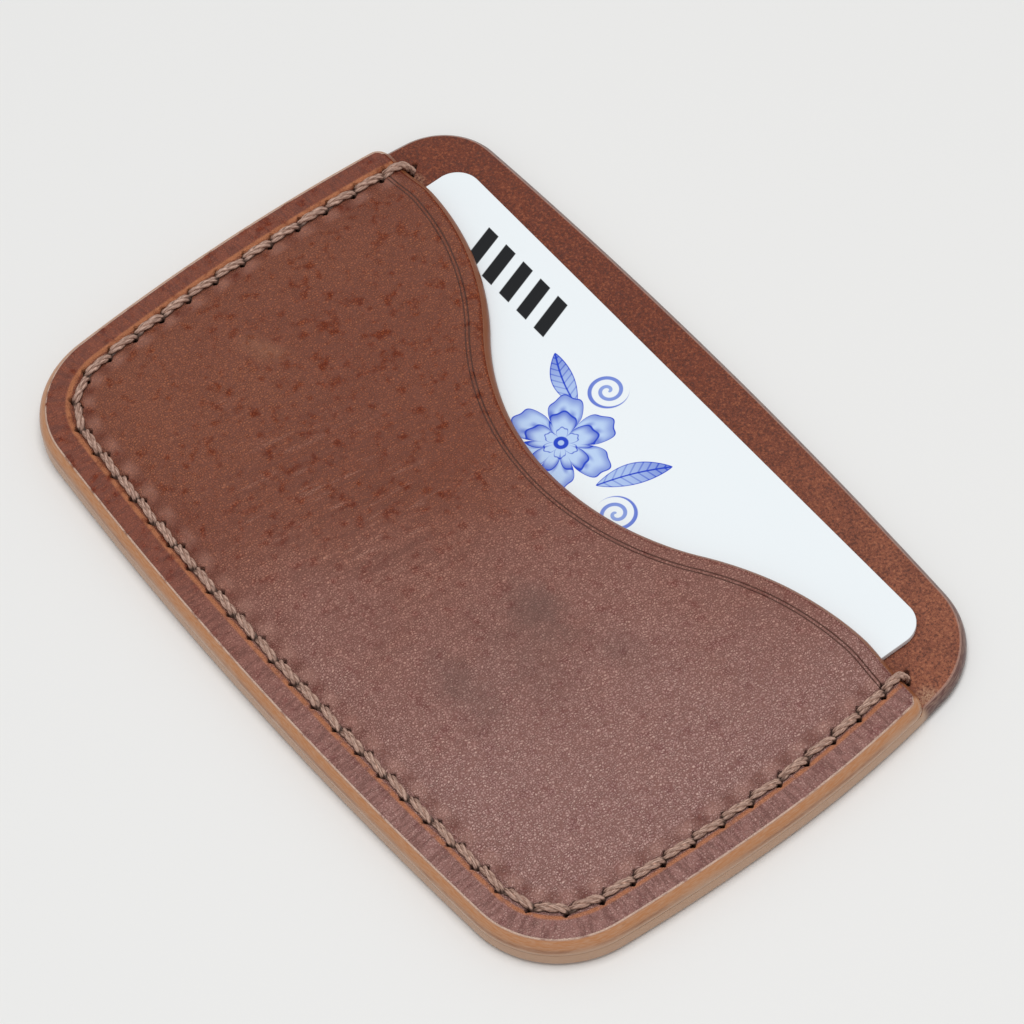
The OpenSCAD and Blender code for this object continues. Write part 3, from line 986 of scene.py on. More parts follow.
def card_skin():
    ease = 0.1
    rim = card_edge.line(ease)
    flat_xy, flat_faces = fill_face(rim, np.array([card_mid]))
    n = len(rim)
    top = np.column_stack([flat_xy, np.full(len(flat_xy), card_high[2])])
    under = np.column_stack([flat_xy, np.full(len(flat_xy), card_low[2])])
    rings = rolled_edge(card_edge, top[:n, 2], ease, under[:n, 2], ease, belly=0.0)
    piece, _ = closed_skin("card", top, flat_faces, rings, under, flat_faces)
    return piece


card = card_skin()
print("card:", len(card.data.polygons), "faces")

# %% [markdown]
# ## Materials
#
# Each finish is built from numbers that change over the surface. Writing one Math node per line hides the
# idea, so a small class does it: arithmetic on a Field adds the node that does the sum.

# %% Arithmetic that builds nodes
class Field:
    """A number that changes over a surface. Adding or multiplying Fields adds Math nodes to their tree."""

    def __init__(self, tree, socket):
        self.tree = tree
        self.socket = socket

    def math(self, operation, *others):
        node = self.tree.nodes.new("ShaderNodeMath")
        node.operation = operation
        for slot_in, value in zip(node.inputs, (self,) + others):
            feed(self.tree, slot_in, value)
        return Field(self.tree, node.outputs[0])

    def __add__(self, other):
        return self.math("ADD", other)

    def __sub__(self, other):
        return self.math("SUBTRACT", other)

    def __mul__(self, other):
        return self.math("MULTIPLY", other)

    def __truediv__(self, other):
        return self.math("DIVIDE", other)

    def __neg__(self):
        return self.math("MULTIPLY", -1)

    def clamped(self):
        return self.math("MAXIMUM", 0).math("MINIMUM", 1)


def feed(tree, slot_in, value):
    """Links a Field or a socket to an input, or writes a plain value there."""
    if isinstance(value, Field):
        tree.links.new(value.socket, slot_in)
    elif isinstance(value, bpy.types.NodeSocket):
        tree.links.new(value, slot_in)
    else:
        slot_in.default_value = value


print("Fields add, subtract, multiply and divide")

# %% [markdown]
# Most masks are soft steps of some number, and most patterns are noise at some place. These short
# functions name both. Places are in the object's own millimetres, so a pattern stays on the leather.

# %% Steps, colours, places and noise
def soft(field, start, end):
    """Field that goes from 0 at start to 1 at end, with soft ends. start may be above end."""
    if start > end:
        return -soft(field, end, start) + 1
    node = field.tree.nodes.new("ShaderNodeMapRange")
    node.interpolation_type = "SMOOTHSTEP"
    feed(field.tree, node.inputs["Value"], field)
    node.inputs["From Min"].default_value = start
    node.inputs["From Max"].default_value = end
    return Field(field.tree, node.outputs["Result"])


def band(field, start, end, fade):
    """1 between start and end, and 0 beyond them, with soft sides."""
    return soft(field, start - fade, start + fade) * soft(field, end + fade, end - fade)


def blend_colour(tree, amount, a, b):
    """Colour a where amount is 0 and b where it is 1. Each is a socket or three plain numbers."""
    node = tree.nodes.new("ShaderNodeMix")
    node.data_type = "RGBA"
    feed(tree, node.inputs[0], amount)
    feed(tree, node.inputs[6], (*a, 1) if isinstance(a, tuple) else a)
    feed(tree, node.inputs[7], (*b, 1) if isinstance(b, tuple) else b)
    return node.outputs[2]


def place_in_mm(tree, centre=(0, 0, 0), stretch=(1, 1, 1), turn=0):
    """Object coordinates in millimetres, from centre, turned about Z and then stretched."""
    where = tree.nodes.new("ShaderNodeTexCoord")
    move = tree.nodes.new("ShaderNodeVectorMath")
    move.operation = "MULTIPLY_ADD"
    tree.links.new(where.outputs["Object"], move.inputs[0])
    move.inputs[1].default_value = (1000, 1000, 1000)
    move.inputs[2].default_value = [-c for c in centre]
    mapping = tree.nodes.new("ShaderNodeMapping")
    tree.links.new(move.outputs[0], mapping.inputs["Vector"])
    mapping.vector_type = "TEXTURE"
    mapping.inputs["Rotation"].default_value = (0, 0, turn)
    mapping.inputs["Scale"].default_value = [1 / s for s in stretch]
    return mapping.outputs["Vector"]


def noise(tree, place, per_mm, detail=2, seed_z=0.0, roughness=0.5):
    """Cloudy numbers, about 0.3 to 0.7, with per_mm clouds to a millimetre."""
    node = tree.nodes.new("ShaderNodeTexNoise")
    tree.links.new(place, node.inputs["Vector"])
    node.noise_dimensions = "4D"
    node.inputs["W"].default_value = seed_z
    node.inputs["Scale"].default_value = per_mm
    node.inputs["Detail"].default_value = detail
    node.inputs["Roughness"].default_value = roughness
    return Field(tree, node.outputs[0])


def stored(tree, name):
    """A number that the mesh carries at each vertex."""
    node = tree.nodes.new("ShaderNodeAttribute")
    node.attribute_name = name
    return Field(tree, node.outputs["Fac"])


def xyz(tree, place):
    """The three numbers of a place, as Fields."""
    node = tree.nodes.new("ShaderNodeSeparateXYZ")
    tree.links.new(place, node.inputs[0])
    return [Field(tree, out) for out in node.outputs]


print("one millimetre is", MM, "of the object's own units")

# %% [markdown]
# A finish that two materials share is a node group: it is made once, and each material sets its inputs.
# Every material starts from the same three nodes, its shader, its output and its bumps.

# %% Groups and materials
def group(name, inputs, outputs):
    """A new shader node group, its inputs as Fields, and a function that feeds its outputs."""
    tree = bpy.data.node_groups.new(name, "ShaderNodeTree")
    for label, value in inputs.items():
        is_colour = isinstance(value, tuple)
        kind = "NodeSocketColor" if is_colour else "NodeSocketFloat"
        made = tree.interface.new_socket(label, in_out="INPUT", socket_type=kind)
        made.default_value = (*value, 1) if is_colour else value
    for label, kind in outputs.items():
        tree.interface.new_socket(label, in_out="OUTPUT", socket_type=kind)
    given = tree.nodes.new("NodeGroupInput")
    result = tree.nodes.new("NodeGroupOutput")
    fields = {label: Field(tree, given.outputs[label]) for label in inputs}

    def give(**values):
        for label, value in values.items():
            feed(tree, result.inputs[label.replace("_", " ")], value)

    return tree, fields, give


def use(tree, made_group, **values):
    """Places a group in a material's tree and sets its inputs."""
    node = tree.nodes.new("ShaderNodeGroup")
    node.node_tree = made_group
    for label, value in values.items():
        value = (*value, 1) if isinstance(value, tuple) else value
        feed(tree, node.inputs[label.replace("_", " ")], value)
    return node


def new_material(name):
    """A node material with an empty tree, its Principled shader and its bump node."""
    material = bpy.data.materials.get(name) or bpy.data.materials.new(name)
    material.use_nodes = True
    tree = material.node_tree
    tree.nodes.clear()
    shader = tree.nodes.new("ShaderNodeBsdfPrincipled")
    out = tree.nodes.new("ShaderNodeOutputMaterial")
    tree.links.new(shader.outputs[0], out.inputs["Surface"])
    bumps = tree.nodes.new("ShaderNodeBump")
    bumps.inputs["Strength"].default_value = 1.0
    tree.links.new(bumps.outputs[0], shader.inputs["Normal"])
    return material, tree, shader, bumps


# Painted shade: the colour inside the stitch holes, where shade falls.
HOLE_SHADE = (0.02, 0.012, 0.01)
print("a hole in the leather is as dark as", HOLE_SHADE)

# %% [markdown]
# Leather grain is a net of fine creases between raised pebbles. Cells of a Voronoi pattern, warped a
# little, give the net; stretched cells give the fine wrinkles where the hide was flexed. Both leathers
# use the same group with their own sizes.

# %% Group: leather grain
def leather_grain():
    kinds = {"Height": "NodeSocketFloat", "Tone": "NodeSocketFloat"}
    tree, given, give = group("leather grain", {"Cells per mm": 2.4, "Wrinkles": 0.3, "Pores": 0.3}, kinds)
    place = place_in_mm(tree)
    warp = tree.nodes.new("ShaderNodeTexNoise")
    tree.links.new(place, warp.inputs["Vector"])
    warp.inputs["Scale"].default_value = 0.9
    warp.inputs["Detail"].default_value = 2
    push = tree.nodes.new("ShaderNodeVectorMath")
    push.operation = "MULTIPLY_ADD"
    tree.links.new(warp.outputs["Color"], push.inputs[0])
    push.inputs[1].default_value = (0.5, 0.5, 0.5)
    tree.links.new(place, push.inputs[2])

    def cells(vector, scale):
        node = tree.nodes.new("ShaderNodeTexVoronoi")
        node.feature = "DISTANCE_TO_EDGE"
        tree.links.new(vector, node.inputs["Vector"])
        feed(tree, node.inputs["Scale"], scale)
        return Field(tree, node.outputs["Distance"])

    pebbles = soft(cells(push.outputs[0], given["Cells per mm"]), 0.0, 0.28)
    stretch = tree.nodes.new("ShaderNodeMapping")
    stretch.vector_type = "TEXTURE"
    stretch.inputs["Rotation"].default_value = (0, 0, math.radians(80))
    stretch.inputs["Scale"].default_value = (2.6, 1, 1)
    tree.links.new(push.outputs[0], stretch.inputs["Vector"])
    wrinkled = soft(cells(stretch.outputs[0], given["Cells per mm"] * 0.9), 0.0, 0.3)
    pores = noise(tree, push.outputs[0], 5.5, detail=3)
    net = pebbles * (-given["Wrinkles"] + 1) + wrinkled * given["Wrinkles"]
    uneven = noise(tree, place, 1.1, detail=2, seed_z=3)
    height = net * (uneven * 0.8 + 0.6) * 0.7 + pores * given["Pores"]
    give(Height=height, Tone=net * 0.6 + pores * 0.8 - 0.4)
    return tree


grain = leather_grain()
print("leather grain:", len(grain.nodes), "nodes")

# %% [markdown]
# The cut edge is dyed, waxed and rubbed with a slicker until it shines. Rubbing brings up an orange brown
# near the upper arris and a darker line where the two leathers were glued; the paler tan lower down is a
# painted reflection of the pale table. The group mixes those bands by height, with streaks that run along
# the edge and a few dark flecks.

# %% Group: burnished edge
def burnished_edge():
    inputs = {
        "Top height": 4.3,
        "Bevel": (0.47, 0.205, 0.088),
        "Middle": (0.48, 0.25, 0.14),
        "Low": (0.50, 0.30, 0.19),
        "Line": (0.24, 0.085, 0.030),
        "Line height": 2.95,
    }
    pale_fibres = (0.62, 0.45, 0.33)
    glue_height = 2.18
    tree, given, give = group("burnished edge", inputs, {"Colour": "NodeSocketColor"})
    place = place_in_mm(tree)
    height = xyz(tree, place)[2]
    along = place_in_mm(tree, stretch=(0.16, 0.16, 1.6))
    streaks = noise(tree, along, 1.6, detail=3, seed_z=1)
    clouds = noise(tree, place, 0.16, detail=2, seed_z=2)
    wobbly = height + (clouds - 0.5) * 1.1 + (streaks - 0.5) * 0.9
    from_top = given["Top height"] - wobbly
    # Low is a painted reflection of the pale table on the lower wall; Middle is the burnished brown above it.
    upper = soft(from_top, 2.1, 1.2)
    colour = blend_colour(tree, upper, given["Low"], given["Middle"])
    colour = blend_colour(tree, band(from_top, 0.1, 1.15, 0.3), colour, given["Bevel"])
    off_line = (wobbly * 0.35 + height * 0.65 - given["Line height"]).math("ABSOLUTE")
    dark_line = soft(off_line, 0.34, 0.03) * soft(clouds, 0.35, 0.6)
    colour = blend_colour(tree, dark_line * 0.7, colour, given["Line"])
    flecks = soft(noise(tree, along, 4.0, detail=3, seed_z=5), 0.66, 0.74)
    colour = blend_colour(tree, flecks * 0.55, colour, given["Line"])
    fibres = noise(tree, along, 7.0, detail=3, seed_z=6)
    colour = blend_colour(tree, soft(fibres, 0.35, 0.7) * 0.28, colour, pale_fibres)
    glued = (height - glue_height).math("ABSOLUTE")
    colour = blend_colour(tree, soft(glued, 0.14, 0.02) * 0.15, colour, given["Line"])
    give(Colour=colour)
    return tree


edge_finish = burnished_edge()
print("burnished edge:", len(edge_finish.nodes), "nodes")

# %% [markdown]
# The front leather goes from a deep red brown at the upper left to a paler, rosier brown at the lower right,
# which is a painted sheen. There are a few dark rubbed spots on the right, a pale scuff on the left, and
# creases in the middle where it was flexed. The border outside the seam was dyed again with the edge, so
# that it is redder, and beside the seam the thread has rubbed an orange line. Names that are pairs give
# the colour away from the painted sheen and under it.

# %% Material: front leather
def spot(tree, centre, size, turn=0.0, seed=0.0):
    """Mask of an uneven round spot: centre and size in mm, turn in radians."""
    place = place_in_mm(tree, centre=(*centre, 0), stretch=(1 / size[0], 1 / size[1], 0.05), turn=turn)
    length = tree.nodes.new("ShaderNodeVectorMath")
    length.operation = "LENGTH"
    tree.links.new(place, length.inputs[0])
    cloud = noise(tree, place_in_mm(tree), 0.33, detail=4, seed_z=seed, roughness=0.6)
    return soft(Field(tree, length.outputs["Value"]) + (cloud - 0.5) * 1.6, 1.25, 0.1)


def front_leather_material():
    material, tree, shader, bumps = new_material("front leather")
    place = place_in_mm(tree)
    x, y, _ = xyz(tree, place)
    side = stored(tree, "seam_side")
    from_mouth = stored(tree, "from_mouth")
    hole = stored(tree, "hole")
    wall = stored(tree, "wall")

    # Chestnut in slow clouds, painted paler and rosier towards the lower right as a sheen, with a finer
    # mottle.
    chestnut = ((0.225, 0.042, 0.013), (0.262, 0.060, 0.021))
    rosy_sheen_paint = (0.41, 0.225, 0.212)
    dark_mottle, pale_mottle = (0.15, 0.026, 0.011), (0.36, 0.12, 0.065)
    cloud = noise(tree, place, 0.035, detail=3, seed_z=1)
    mottle = noise(tree, place, 0.22, detail=4, seed_z=2, roughness=0.6)
    colour = blend_colour(tree, soft(cloud, 0.4, 0.6), *chestnut)
    sheen_side = soft(x * 0.85 - y * 0.5 + (cloud - 0.5) * 36 + (mottle - 0.5) * 8, -12, 38)
    colour = blend_colour(tree, sheen_side, colour, rosy_sheen_paint)
    colour = blend_colour(tree, soft(mottle, 0.35, 0.7) * 0.10, colour, dark_mottle)
    colour = blend_colour(tree, soft(mottle, 0.60, 0.3) * 0.10, colour, pale_mottle)

    # Creases where the panel was flexed: painted shade in the folds, painted highlights on their crests.
    fold_shade, crest_highlight = (0.10, 0.022, 0.017), (0.50, 0.26, 0.20)
    flexed = spot(tree, (-9.0, -13.0), (26.0, 15.0), seed=16.0)
    along_folds = place_in_mm(tree, stretch=(1, 0.13, 1), turn=math.radians(-9))
    creases = noise(tree, along_folds, 1.5, detail=3, seed_z=17)
    colour = blend_colour(tree, soft(creases, 0.5, 0.4) * flexed * 0.45, colour, fold_shade)
    colour = blend_colour(tree, soft(creases, 0.54, 0.66) * flexed * 0.38, colour, crest_highlight)

    # The grain: painted shade in the pits and painted glints on the peaks, brighter under the painted sheen.
    pit_shade = ((0.115, 0.018, 0.008), (0.17, 0.058, 0.048))
    glint_paint = ((0.43, 0.135, 0.050), (0.66, 0.44, 0.38))
    made = use(tree, grain, Cells_per_mm=3.4, Wrinkles=0.4, Pores=0.4)
    tone = Field(tree, made.outputs["Tone"])
    colour = blend_colour(tree, soft(tone, 0.44, 0.10) * 0.8, colour, blend_colour(tree, sheen_side, *pit_shade))
    glints = soft(tone, 0.43, 0.62) * (sheen_side * 0.3 + 0.45)
    colour = blend_colour(tree, glints, colour, blend_colour(tree, sheen_side, *glint_paint))

    # The border outside the seam, ribbed across and dyed with the edge.
    border_dye = ((0.23, 0.042, 0.022), (0.33, 0.145, 0.130))
    rib_shadow = (0.085, 0.015, 0.013)
    border = band(side, -3.9, -1.0, 0.25)
    along_edge = tree.nodes.new("ShaderNodeCombineXYZ")
    feed(tree, along_edge.inputs[0], stored(tree, "seam_run"))
    feed(tree, along_edge.inputs[1], side * 0.22)
    ribs = noise(tree, along_edge.outputs[0], 2.6, detail=3, seed_z=6, roughness=0.6)
    streaks = noise(tree, place, 0.8, detail=3, seed_z=7)
    # Under the painted sheen the dyed border is paler and rosier too.
    dyed = blend_colour(tree, sheen_side, *border_dye)
    colour = blend_colour(tree, border * (streaks * 0.5 + 0.2), colour, dyed)
    colour = blend_colour(tree, border * soft(ribs, 0.56, 0.38) * 0.5, colour, rib_shadow)

    # Beside the seam: an orange rubbed line outside, and inside, where the thread puckers the leather,
    # painted shade between every two holes and a painted highlight by each hole.
    orange_line, pucker_shadow, pucker_highlight = (0.50, 0.165, 0.060), (0.13, 0.020, 0.011), (0.46, 0.23, 0.18)
    rubbed = band(side, -1.22, -0.66, 0.16)
    colour = blend_colour(tree, rubbed * soft(streaks, 0.25, 0.55) * 0.85, colour, orange_line)
    inside = band(side, 0.55, 2.2, 0.5)
    between = (stored(tree, "stitch") * (2 * math.pi)).math("COSINE") * -0.5 + 0.5
    dimple_shade = inside * between * soft(mottle, 0.3, 0.55)
    colour = blend_colour(tree, dimple_shade * 0.55, colour, pucker_shadow)
    colour = blend_colour(tree, inside * (-between + 1) * 0.30, colour, pucker_highlight)

    # Four dark spots from handling, and a pale scuff. Each has a centre, a size, a strength and a seed.
    handled, scuffed = (0.10, 0.050, 0.044), (0.36, 0.16, 0.09)
    for centre, size, amount, seed in (
        ((14.4, -3.8), (6.5, 3.6), 0.55, 11.0),
        ((17.3, -16.6), (7.0, 3.4), 0.42, 12.0),
        ((24.3, -0.3), (5.2, 2.8), 0.28, 13.0),
        ((18.0, -9.0), (10.0, 6.5), 0.26, 14.0),
    ):
        mask = spot(tree, centre, size, seed=seed)
        colour = blend_colour(tree, mask * amount, colour, handled)
    scuff = spot(tree, (-34.7, -6.1), (4.5, 1.6), turn=0.5, seed=15.0)
    colour = blend_colour(tree, scuff * 0.3, colour, scuffed)

    # The hot iron darkened both lines of the crease.
    scorched = (0.055, 0.008, 0.005)
    crease = band(from_mouth, CREASE_AT - 0.09, CREASE_AT + 0.09, 0.04)
    crease = crease + band(from_mouth, CREASE_2_AT - 0.08, CREASE_2_AT + 0.08, 0.04)
    crease = crease * soft(x.math("ABSOLUTE"), 46.7, 45.8)
    colour = blend_colour(tree, crease.clamped(), colour, scorched)

    # The edge, darker at the mouth, with a painted highlight along its arris.
    mouth_dye, arris_highlight_paint = (0.20, 0.052, 0.018), (0.74, 0.53, 0.42)
    edge = use(tree, edge_finish)
    on_edge = soft(wall, 0.08, 0.3)
    colour = blend_colour(tree, on_edge, colour, edge.outputs["Colour"])
    at_mouth = stored(tree, "at_mouth")
    colour = blend_colour(tree, on_edge * at_mouth * 0.85, colour, mouth_dye)
    arris_highlight = band(wall, 0.03, 0.2, 0.05) * soft(streaks, 0.25, 0.5) * (-at_mouth + 1) * 0.85
    colour = blend_colour(tree, arris_highlight, colour, arris_highlight_paint)
    # Painted shade inside the stitch holes.
    colour = blend_colour(tree, hole, colour, HOLE_SHADE)
    tree.links.new(colour, shader.inputs["Base Color"])

    rough = tone * -0.12 + mottle * 0.10 + 0.58 - sheen_side * 0.14 - on_edge * 0.22 + hole * 0.3
    feed(tree, shader.inputs["Roughness"], rough)
    shader.inputs["Specular IOR Level"].default_value = 0.13
    feed(tree, shader.inputs["Coat Weight"], on_edge * 0.4 - on_edge * at_mouth * 0.3)
    shader.inputs["Coat Roughness"].default_value = 0.22
    height = Field(tree, made.outputs["Height"]) * (-on_edge + 1) + streaks * on_edge * 0.5
    height = height + ribs * border * 0.8 + creases * flexed * 1.1
    feed(tree, bumps.inputs["Height"], height)
    bumps.inputs["Distance"].default_value = 0.15 * MM
    return material


front.data.materials.append(front_leather_material())
print("front leather:", len(front.data.materials[0].node_tree.nodes), "nodes")

# %% [markdown]
# The back leather shows its face round the card, where it is matt and finely stippled with painted shade in
# pits and painted light on grains, with a pale fuzzy patch beyond each lock stitch where the fingers that
# pulled the thread rubbed the dye off. Its bare rim above the mouth is waxed dark and glossy, with a painted
# highlight along its arris, while the rim below it matches the front panel's.

# %% Material: back leather
def back_leather_material():
    material, tree, shader, bumps = new_material("back leather")
    place = place_in_mm(tree)
    x, y, _ = xyz(tree, place)
    hole = stored(tree, "hole")
    wall = stored(tree, "wall")
    side = stored(tree, "seam_side")

    # Darker on the left, with a dull mottle and a fine stipple of painted shade in pits and painted light on
    # grains.
    bridle_brown = ((0.170, 0.028, 0.008), (0.30, 0.088, 0.043))
    lit_grain = ((0.40, 0.115, 0.045), (0.50, 0.19, 0.09))
    dull, pit_shade = (0.115, 0.022, 0.013), (0.055, 0.012, 0.008)
    mottle = noise(tree, place, 0.3, detail=4, seed_z=21, roughness=0.6)
    stipple = noise(tree, place, 3.4, detail=3, seed_z=22, roughness=0.7)
    right = soft(x, -10, 46)
    colour = blend_colour(tree, right, *bridle_brown)
    colour = blend_colour(tree, soft(mottle, 0.4, 0.65) * 0.4, colour, dull)
    colour = blend_colour(tree, soft(stipple, 0.50, 0.38) * 0.75, colour, pit_shade)
    lit = blend_colour(tree, right, *lit_grain)
    colour = blend_colour(tree, soft(stipple, 0.53, 0.64) * 0.6, colour, lit)

    # A fuzzy patch beyond each lock stitch, and the line that the thread rubbed beside the seam.
    fuzz_tan, rubbed_line = (0.50, 0.31, 0.20), (0.36, 0.125, 0.05)
    fuzz = spot(tree, (49.4, 22.9), (1.5, 1.3), seed=31.0)
    fuzz = fuzz + spot(tree, (-45.0, 23.6), (1.3, 0.9), seed=32.0) * 0.6
    colour = blend_colour(tree, fuzz.clamped() * soft(stipple, 0.38, 0.6) * 0.8, colour, fuzz_tan)
    colour = blend_colour(tree, band(side, -1.12, -0.62, 0.16) * 0.5, colour, rubbed_line)

    # The edge: burnished like the front's below the mouth, and dark with wax where it is bare, with a painted
    # highlight along the bare arris.
    bare_arris_highlight = (0.50, 0.29, 0.23)
    edge = use(tree, edge_finish)
    on_edge = soft(wall, 0.08, 0.3)
    mouth_level = soft(x, 1, -1) * (mouth_high_left - mouth_high)
    bare = soft(y - mouth_level, mouth_high - 0.9, mouth_high + 0.6)
    bare_edge = use(tree, edge_finish, Top_height=2.6, Bevel=(0.13, 0.06, 0.055), Middle=(0.10, 0.05, 0.055),
                    Low=(0.17, 0.10, 0.09), Line=(0.05, 0.02, 0.02), Line_height=0.9)
    wall_colour = blend_colour(tree, bare, edge.outputs["Colour"], bare_edge.outputs["Colour"])
    colour = blend_colour(tree, on_edge, colour, wall_colour)
    # Painted highlight along the bare rim's arris.
    arris_highlight = band(wall, 0.03, 0.3, 0.06) * bare
    colour = blend_colour(tree, arris_highlight * 0.7, colour, bare_arris_highlight)
    # Painted shade inside the stitch holes.
    colour = blend_colour(tree, hole, colour, HOLE_SHADE)
    tree.links.new(colour, shader.inputs["Base Color"])

    made = use(tree, grain, Cells_per_mm=3.6, Wrinkles=0.15, Pores=1.0)
    rough = mottle * 0.14 + 0.50 - on_edge * 0.10 - on_edge * bare * 0.12 + hole * 0.4
    feed(tree, shader.inputs["Roughness"], rough)
    streaks = noise(tree, place, 0.8, detail=3, seed_z=7)
    feed(tree, shader.inputs["Coat Weight"], on_edge * 0.3)
    shader.inputs["Coat Roughness"].default_value = 0.18
    shader.inputs["Specular IOR Level"].default_value = 0.15
    height = Field(tree, made.outputs["Height"]) * (-on_edge + 1) + streaks * on_edge * 0.5
    feed(tree, bumps.inputs["Height"], height)
    bumps.inputs["Distance"].default_value = 0.09 * MM
    return material


back.data.materials.append(back_leather_material())
print("back leather:", len(back.data.materials[0].node_tree.nodes), "nodes")

# %% [markdown]
# Waxed linen is dull, and its fibres run along each ply. The plies carry two numbers, how far round and
# how far along a vertex lies, so a noise stretched along the ply draws the fibres. Where a stitch dips
# into its hole it lies in shadow and holds dark wax.

# %% Material: thread
def thread_material():
    material, tree, shader, bumps = new_material("waxed linen thread")
    turn = stored(tree, "ply_turn")
    along = stored(tree, "ply_run")
    place = tree.nodes.new("ShaderNodeCombineXYZ")
    feed(tree, place.inputs[0], turn * 1.6 + along * 1.1)
    feed(tree, place.inputs[1], along * 0.9)
    between_fibres, fibre, dusty = (0.16, 0.080, 0.055), (0.70, 0.46, 0.36), (0.36, 0.20, 0.15)
    hole_shadow_paint = (0.035, 0.016, 0.011)
    fibres = noise(tree, place.outputs[0], 1.5, detail=4, seed_z=1, roughness=0.65)
    patches = noise(tree, place_in_mm(tree), 0.5, detail=2, seed_z=2)
    colour = blend_colour(tree, soft(fibres, 0.34, 0.66), between_fibres, fibre)
    colour = blend_colour(tree, soft(patches, 0.42, 0.68) * 0.35, colour, dusty)
    _, y, z = xyz(tree, place_in_mm(tree))
    # Painted shadow: the thread is darkened where it dips into its hole.
    sunk = soft(z, front_z + 0.06, front_z - 0.22) * soft(z, back_t, back_t + 0.4)
    sunk = sunk * soft(y, mouth_high - 1.2, mouth_high - 2.0)
    colour = blend_colour(tree, sunk * 0.85, colour, hole_shadow_paint)
    tree.links.new(colour, shader.inputs["Base Color"])
    feed(tree, shader.inputs["Roughness"], fibres * 0.3 + 0.4)
    feed(tree, bumps.inputs["Height"], fibres)
    bumps.inputs["Distance"].default_value = 0.06 * MM
    return material


thread_material()
print("thread:", len(waxed_linen.node_tree.nodes), "nodes")

# %% [markdown]
# ## The print on the card
#
# The card carries a plain decoration: a blue flower with three rings of petals, two leaves and two
# curls, and a row of slanted black bars. A shape is a mask, and a mask comes from distance: how far from
# a centre, how far from a line. Each motif is a group in its own coordinates, so it can be placed and
# turned as a whole.

# %% Groups: flower, leaf and curl
def flower_group():
    """A flower round the origin: outer, inner and heart petals, and a round centre."""
    kinds = {"Paint": "NodeSocketFloat", "Shade": "NodeSocketFloat"}
    tree, given, give = group("flower", {"X": 0.0, "Y": 0.0}, kinds)
    x, y = given["X"], given["Y"]
    radius = (x * x + y * y).math("SQRT")
    angle = y.math("ARCTAN2", x)

    def petals(count, size, phase, notch):
        """Distance inside the rim of a ring of petals."""
        lobe = (angle * (count / 2) + phase).math("COSINE").math("ABSOLUTE")
        notches = (angle * count * 3 + phase).math("COSINE") * notch
        return (lobe.math("POWER", 0.5) * 0.55 + 0.45) * size + notches - radius

    outer = petals(6, 6.7, 0.3, 0.2)
    inner = petals(5, 4.4, 1.1, 0.14)
    heart = petals(6, 2.2, 0.2, 0.08)
    vein = (angle * 21).math("COSINE") * 0.5 + 0.5
    paint = soft(outer, 0.0, 0.1)
    line_a = band(outer, 0.02, 0.20, 0.08)
    line_b = band(inner, 0.0, 0.20, 0.08)
    line_c = band(heart, 0.0, 0.16, 0.07)
    centre = soft(radius, 0.95, 0.8)
    wash_a = soft(outer, 1.7, 0.1) * 0.55
    wash_b = soft(inner, 1.6, 0.0) * 0.8 * soft(inner, -0.05, 0.1)
    deep = soft(inner, -0.9, 0.0) * soft(inner, 0.05, -0.05) * vein * 0.6
    shade = wash_a + wash_b + deep + line_a * 0.55 + line_b * 0.6 + line_c * 0.8 + centre
    dot = soft(radius, 0.42, 0.3)
    shade = shade * (-dot * 0.9 + 1)
    give(Paint=paint, Shade=shade.clamped())
    return tree


def leaf_group():
    """A leaf from the origin along +X, with Length and Width."""
    kinds = {"Paint": "NodeSocketFloat", "Shade": "NodeSocketFloat"}
    tree, given, give = group("leaf", {"X": 0.0, "Y": 0.0, "Length": 7.5, "Width": 2.6}, kinds)
    share = given["X"] / given["Length"]
    swell = (share * math.pi).math("SINE").math("MAXIMUM", 0).math("POWER", 0.8)
    bow = (share * math.pi).math("SINE") * 0.35
    across = (given["Y"] - bow).math("ABSOLUTE")
    inside = swell * given["Width"] * 0.5 - across
    in_length = soft(share, 0.0, 0.02) * soft(share, 1.0, 0.98)
    paint = soft(inside, 0.0, 0.1) * in_length
    rim = band(inside, 0.0, 0.16, 0.07)
    midrib = soft(across, 0.14, 0.05)
    veins = ((share * 9 - across / given["Width"] * 2.4) * (2 * math.pi)).math("COSINE")
    shade = rim * 0.7 + midrib * 0.8 + soft(veins, 0.55, 0.95) * 0.35 + soft(share, 0.3, 1.0) * 0.45 + 0.16
    give(Paint=paint, Shade=shade.clamped())
    return tree


def curl_group():
    """A tendril that winds in: a spiral line round the origin."""
    kinds = {"Paint": "NodeSocketFloat", "Shade": "NodeSocketFloat"}
    tree, given, give = group("curl", {"X": 0.0, "Y": 0.0, "Size": 2.2}, kinds)
    x, y = given["X"], given["Y"]
    radius = (x * x + y * y).math("SQRT") / given["Size"]
    angle = y.math("ARCTAN2", x) / (2 * math.pi) + 0.5
    turns = radius * 1.6 - angle
    off = (turns.math("WRAP", 0.5, -0.5)).math("ABSOLUTE")
    inside = soft(radius, 1.28, 1.2)
    line = soft(off, 0.23, 0.15) * inside * soft(turns, -0.55, -0.45)
    give(Paint=line, Shade=radius * 0.35 + 0.35)
    return tree


motifs = {"flower": flower_group(), "leaf": leaf_group(), "curl": curl_group()}
print("motifs:", ", ".join(motifs))

# %% [markdown]
# The ink is one colour at many strengths: pale where there is much water in the wash, deep where the
# brush was full. The bars are ink black. Both lie under a clear laminate, so the whole card is one
# smooth satin surface with a thin coat, and its cut edge shows the grey core.

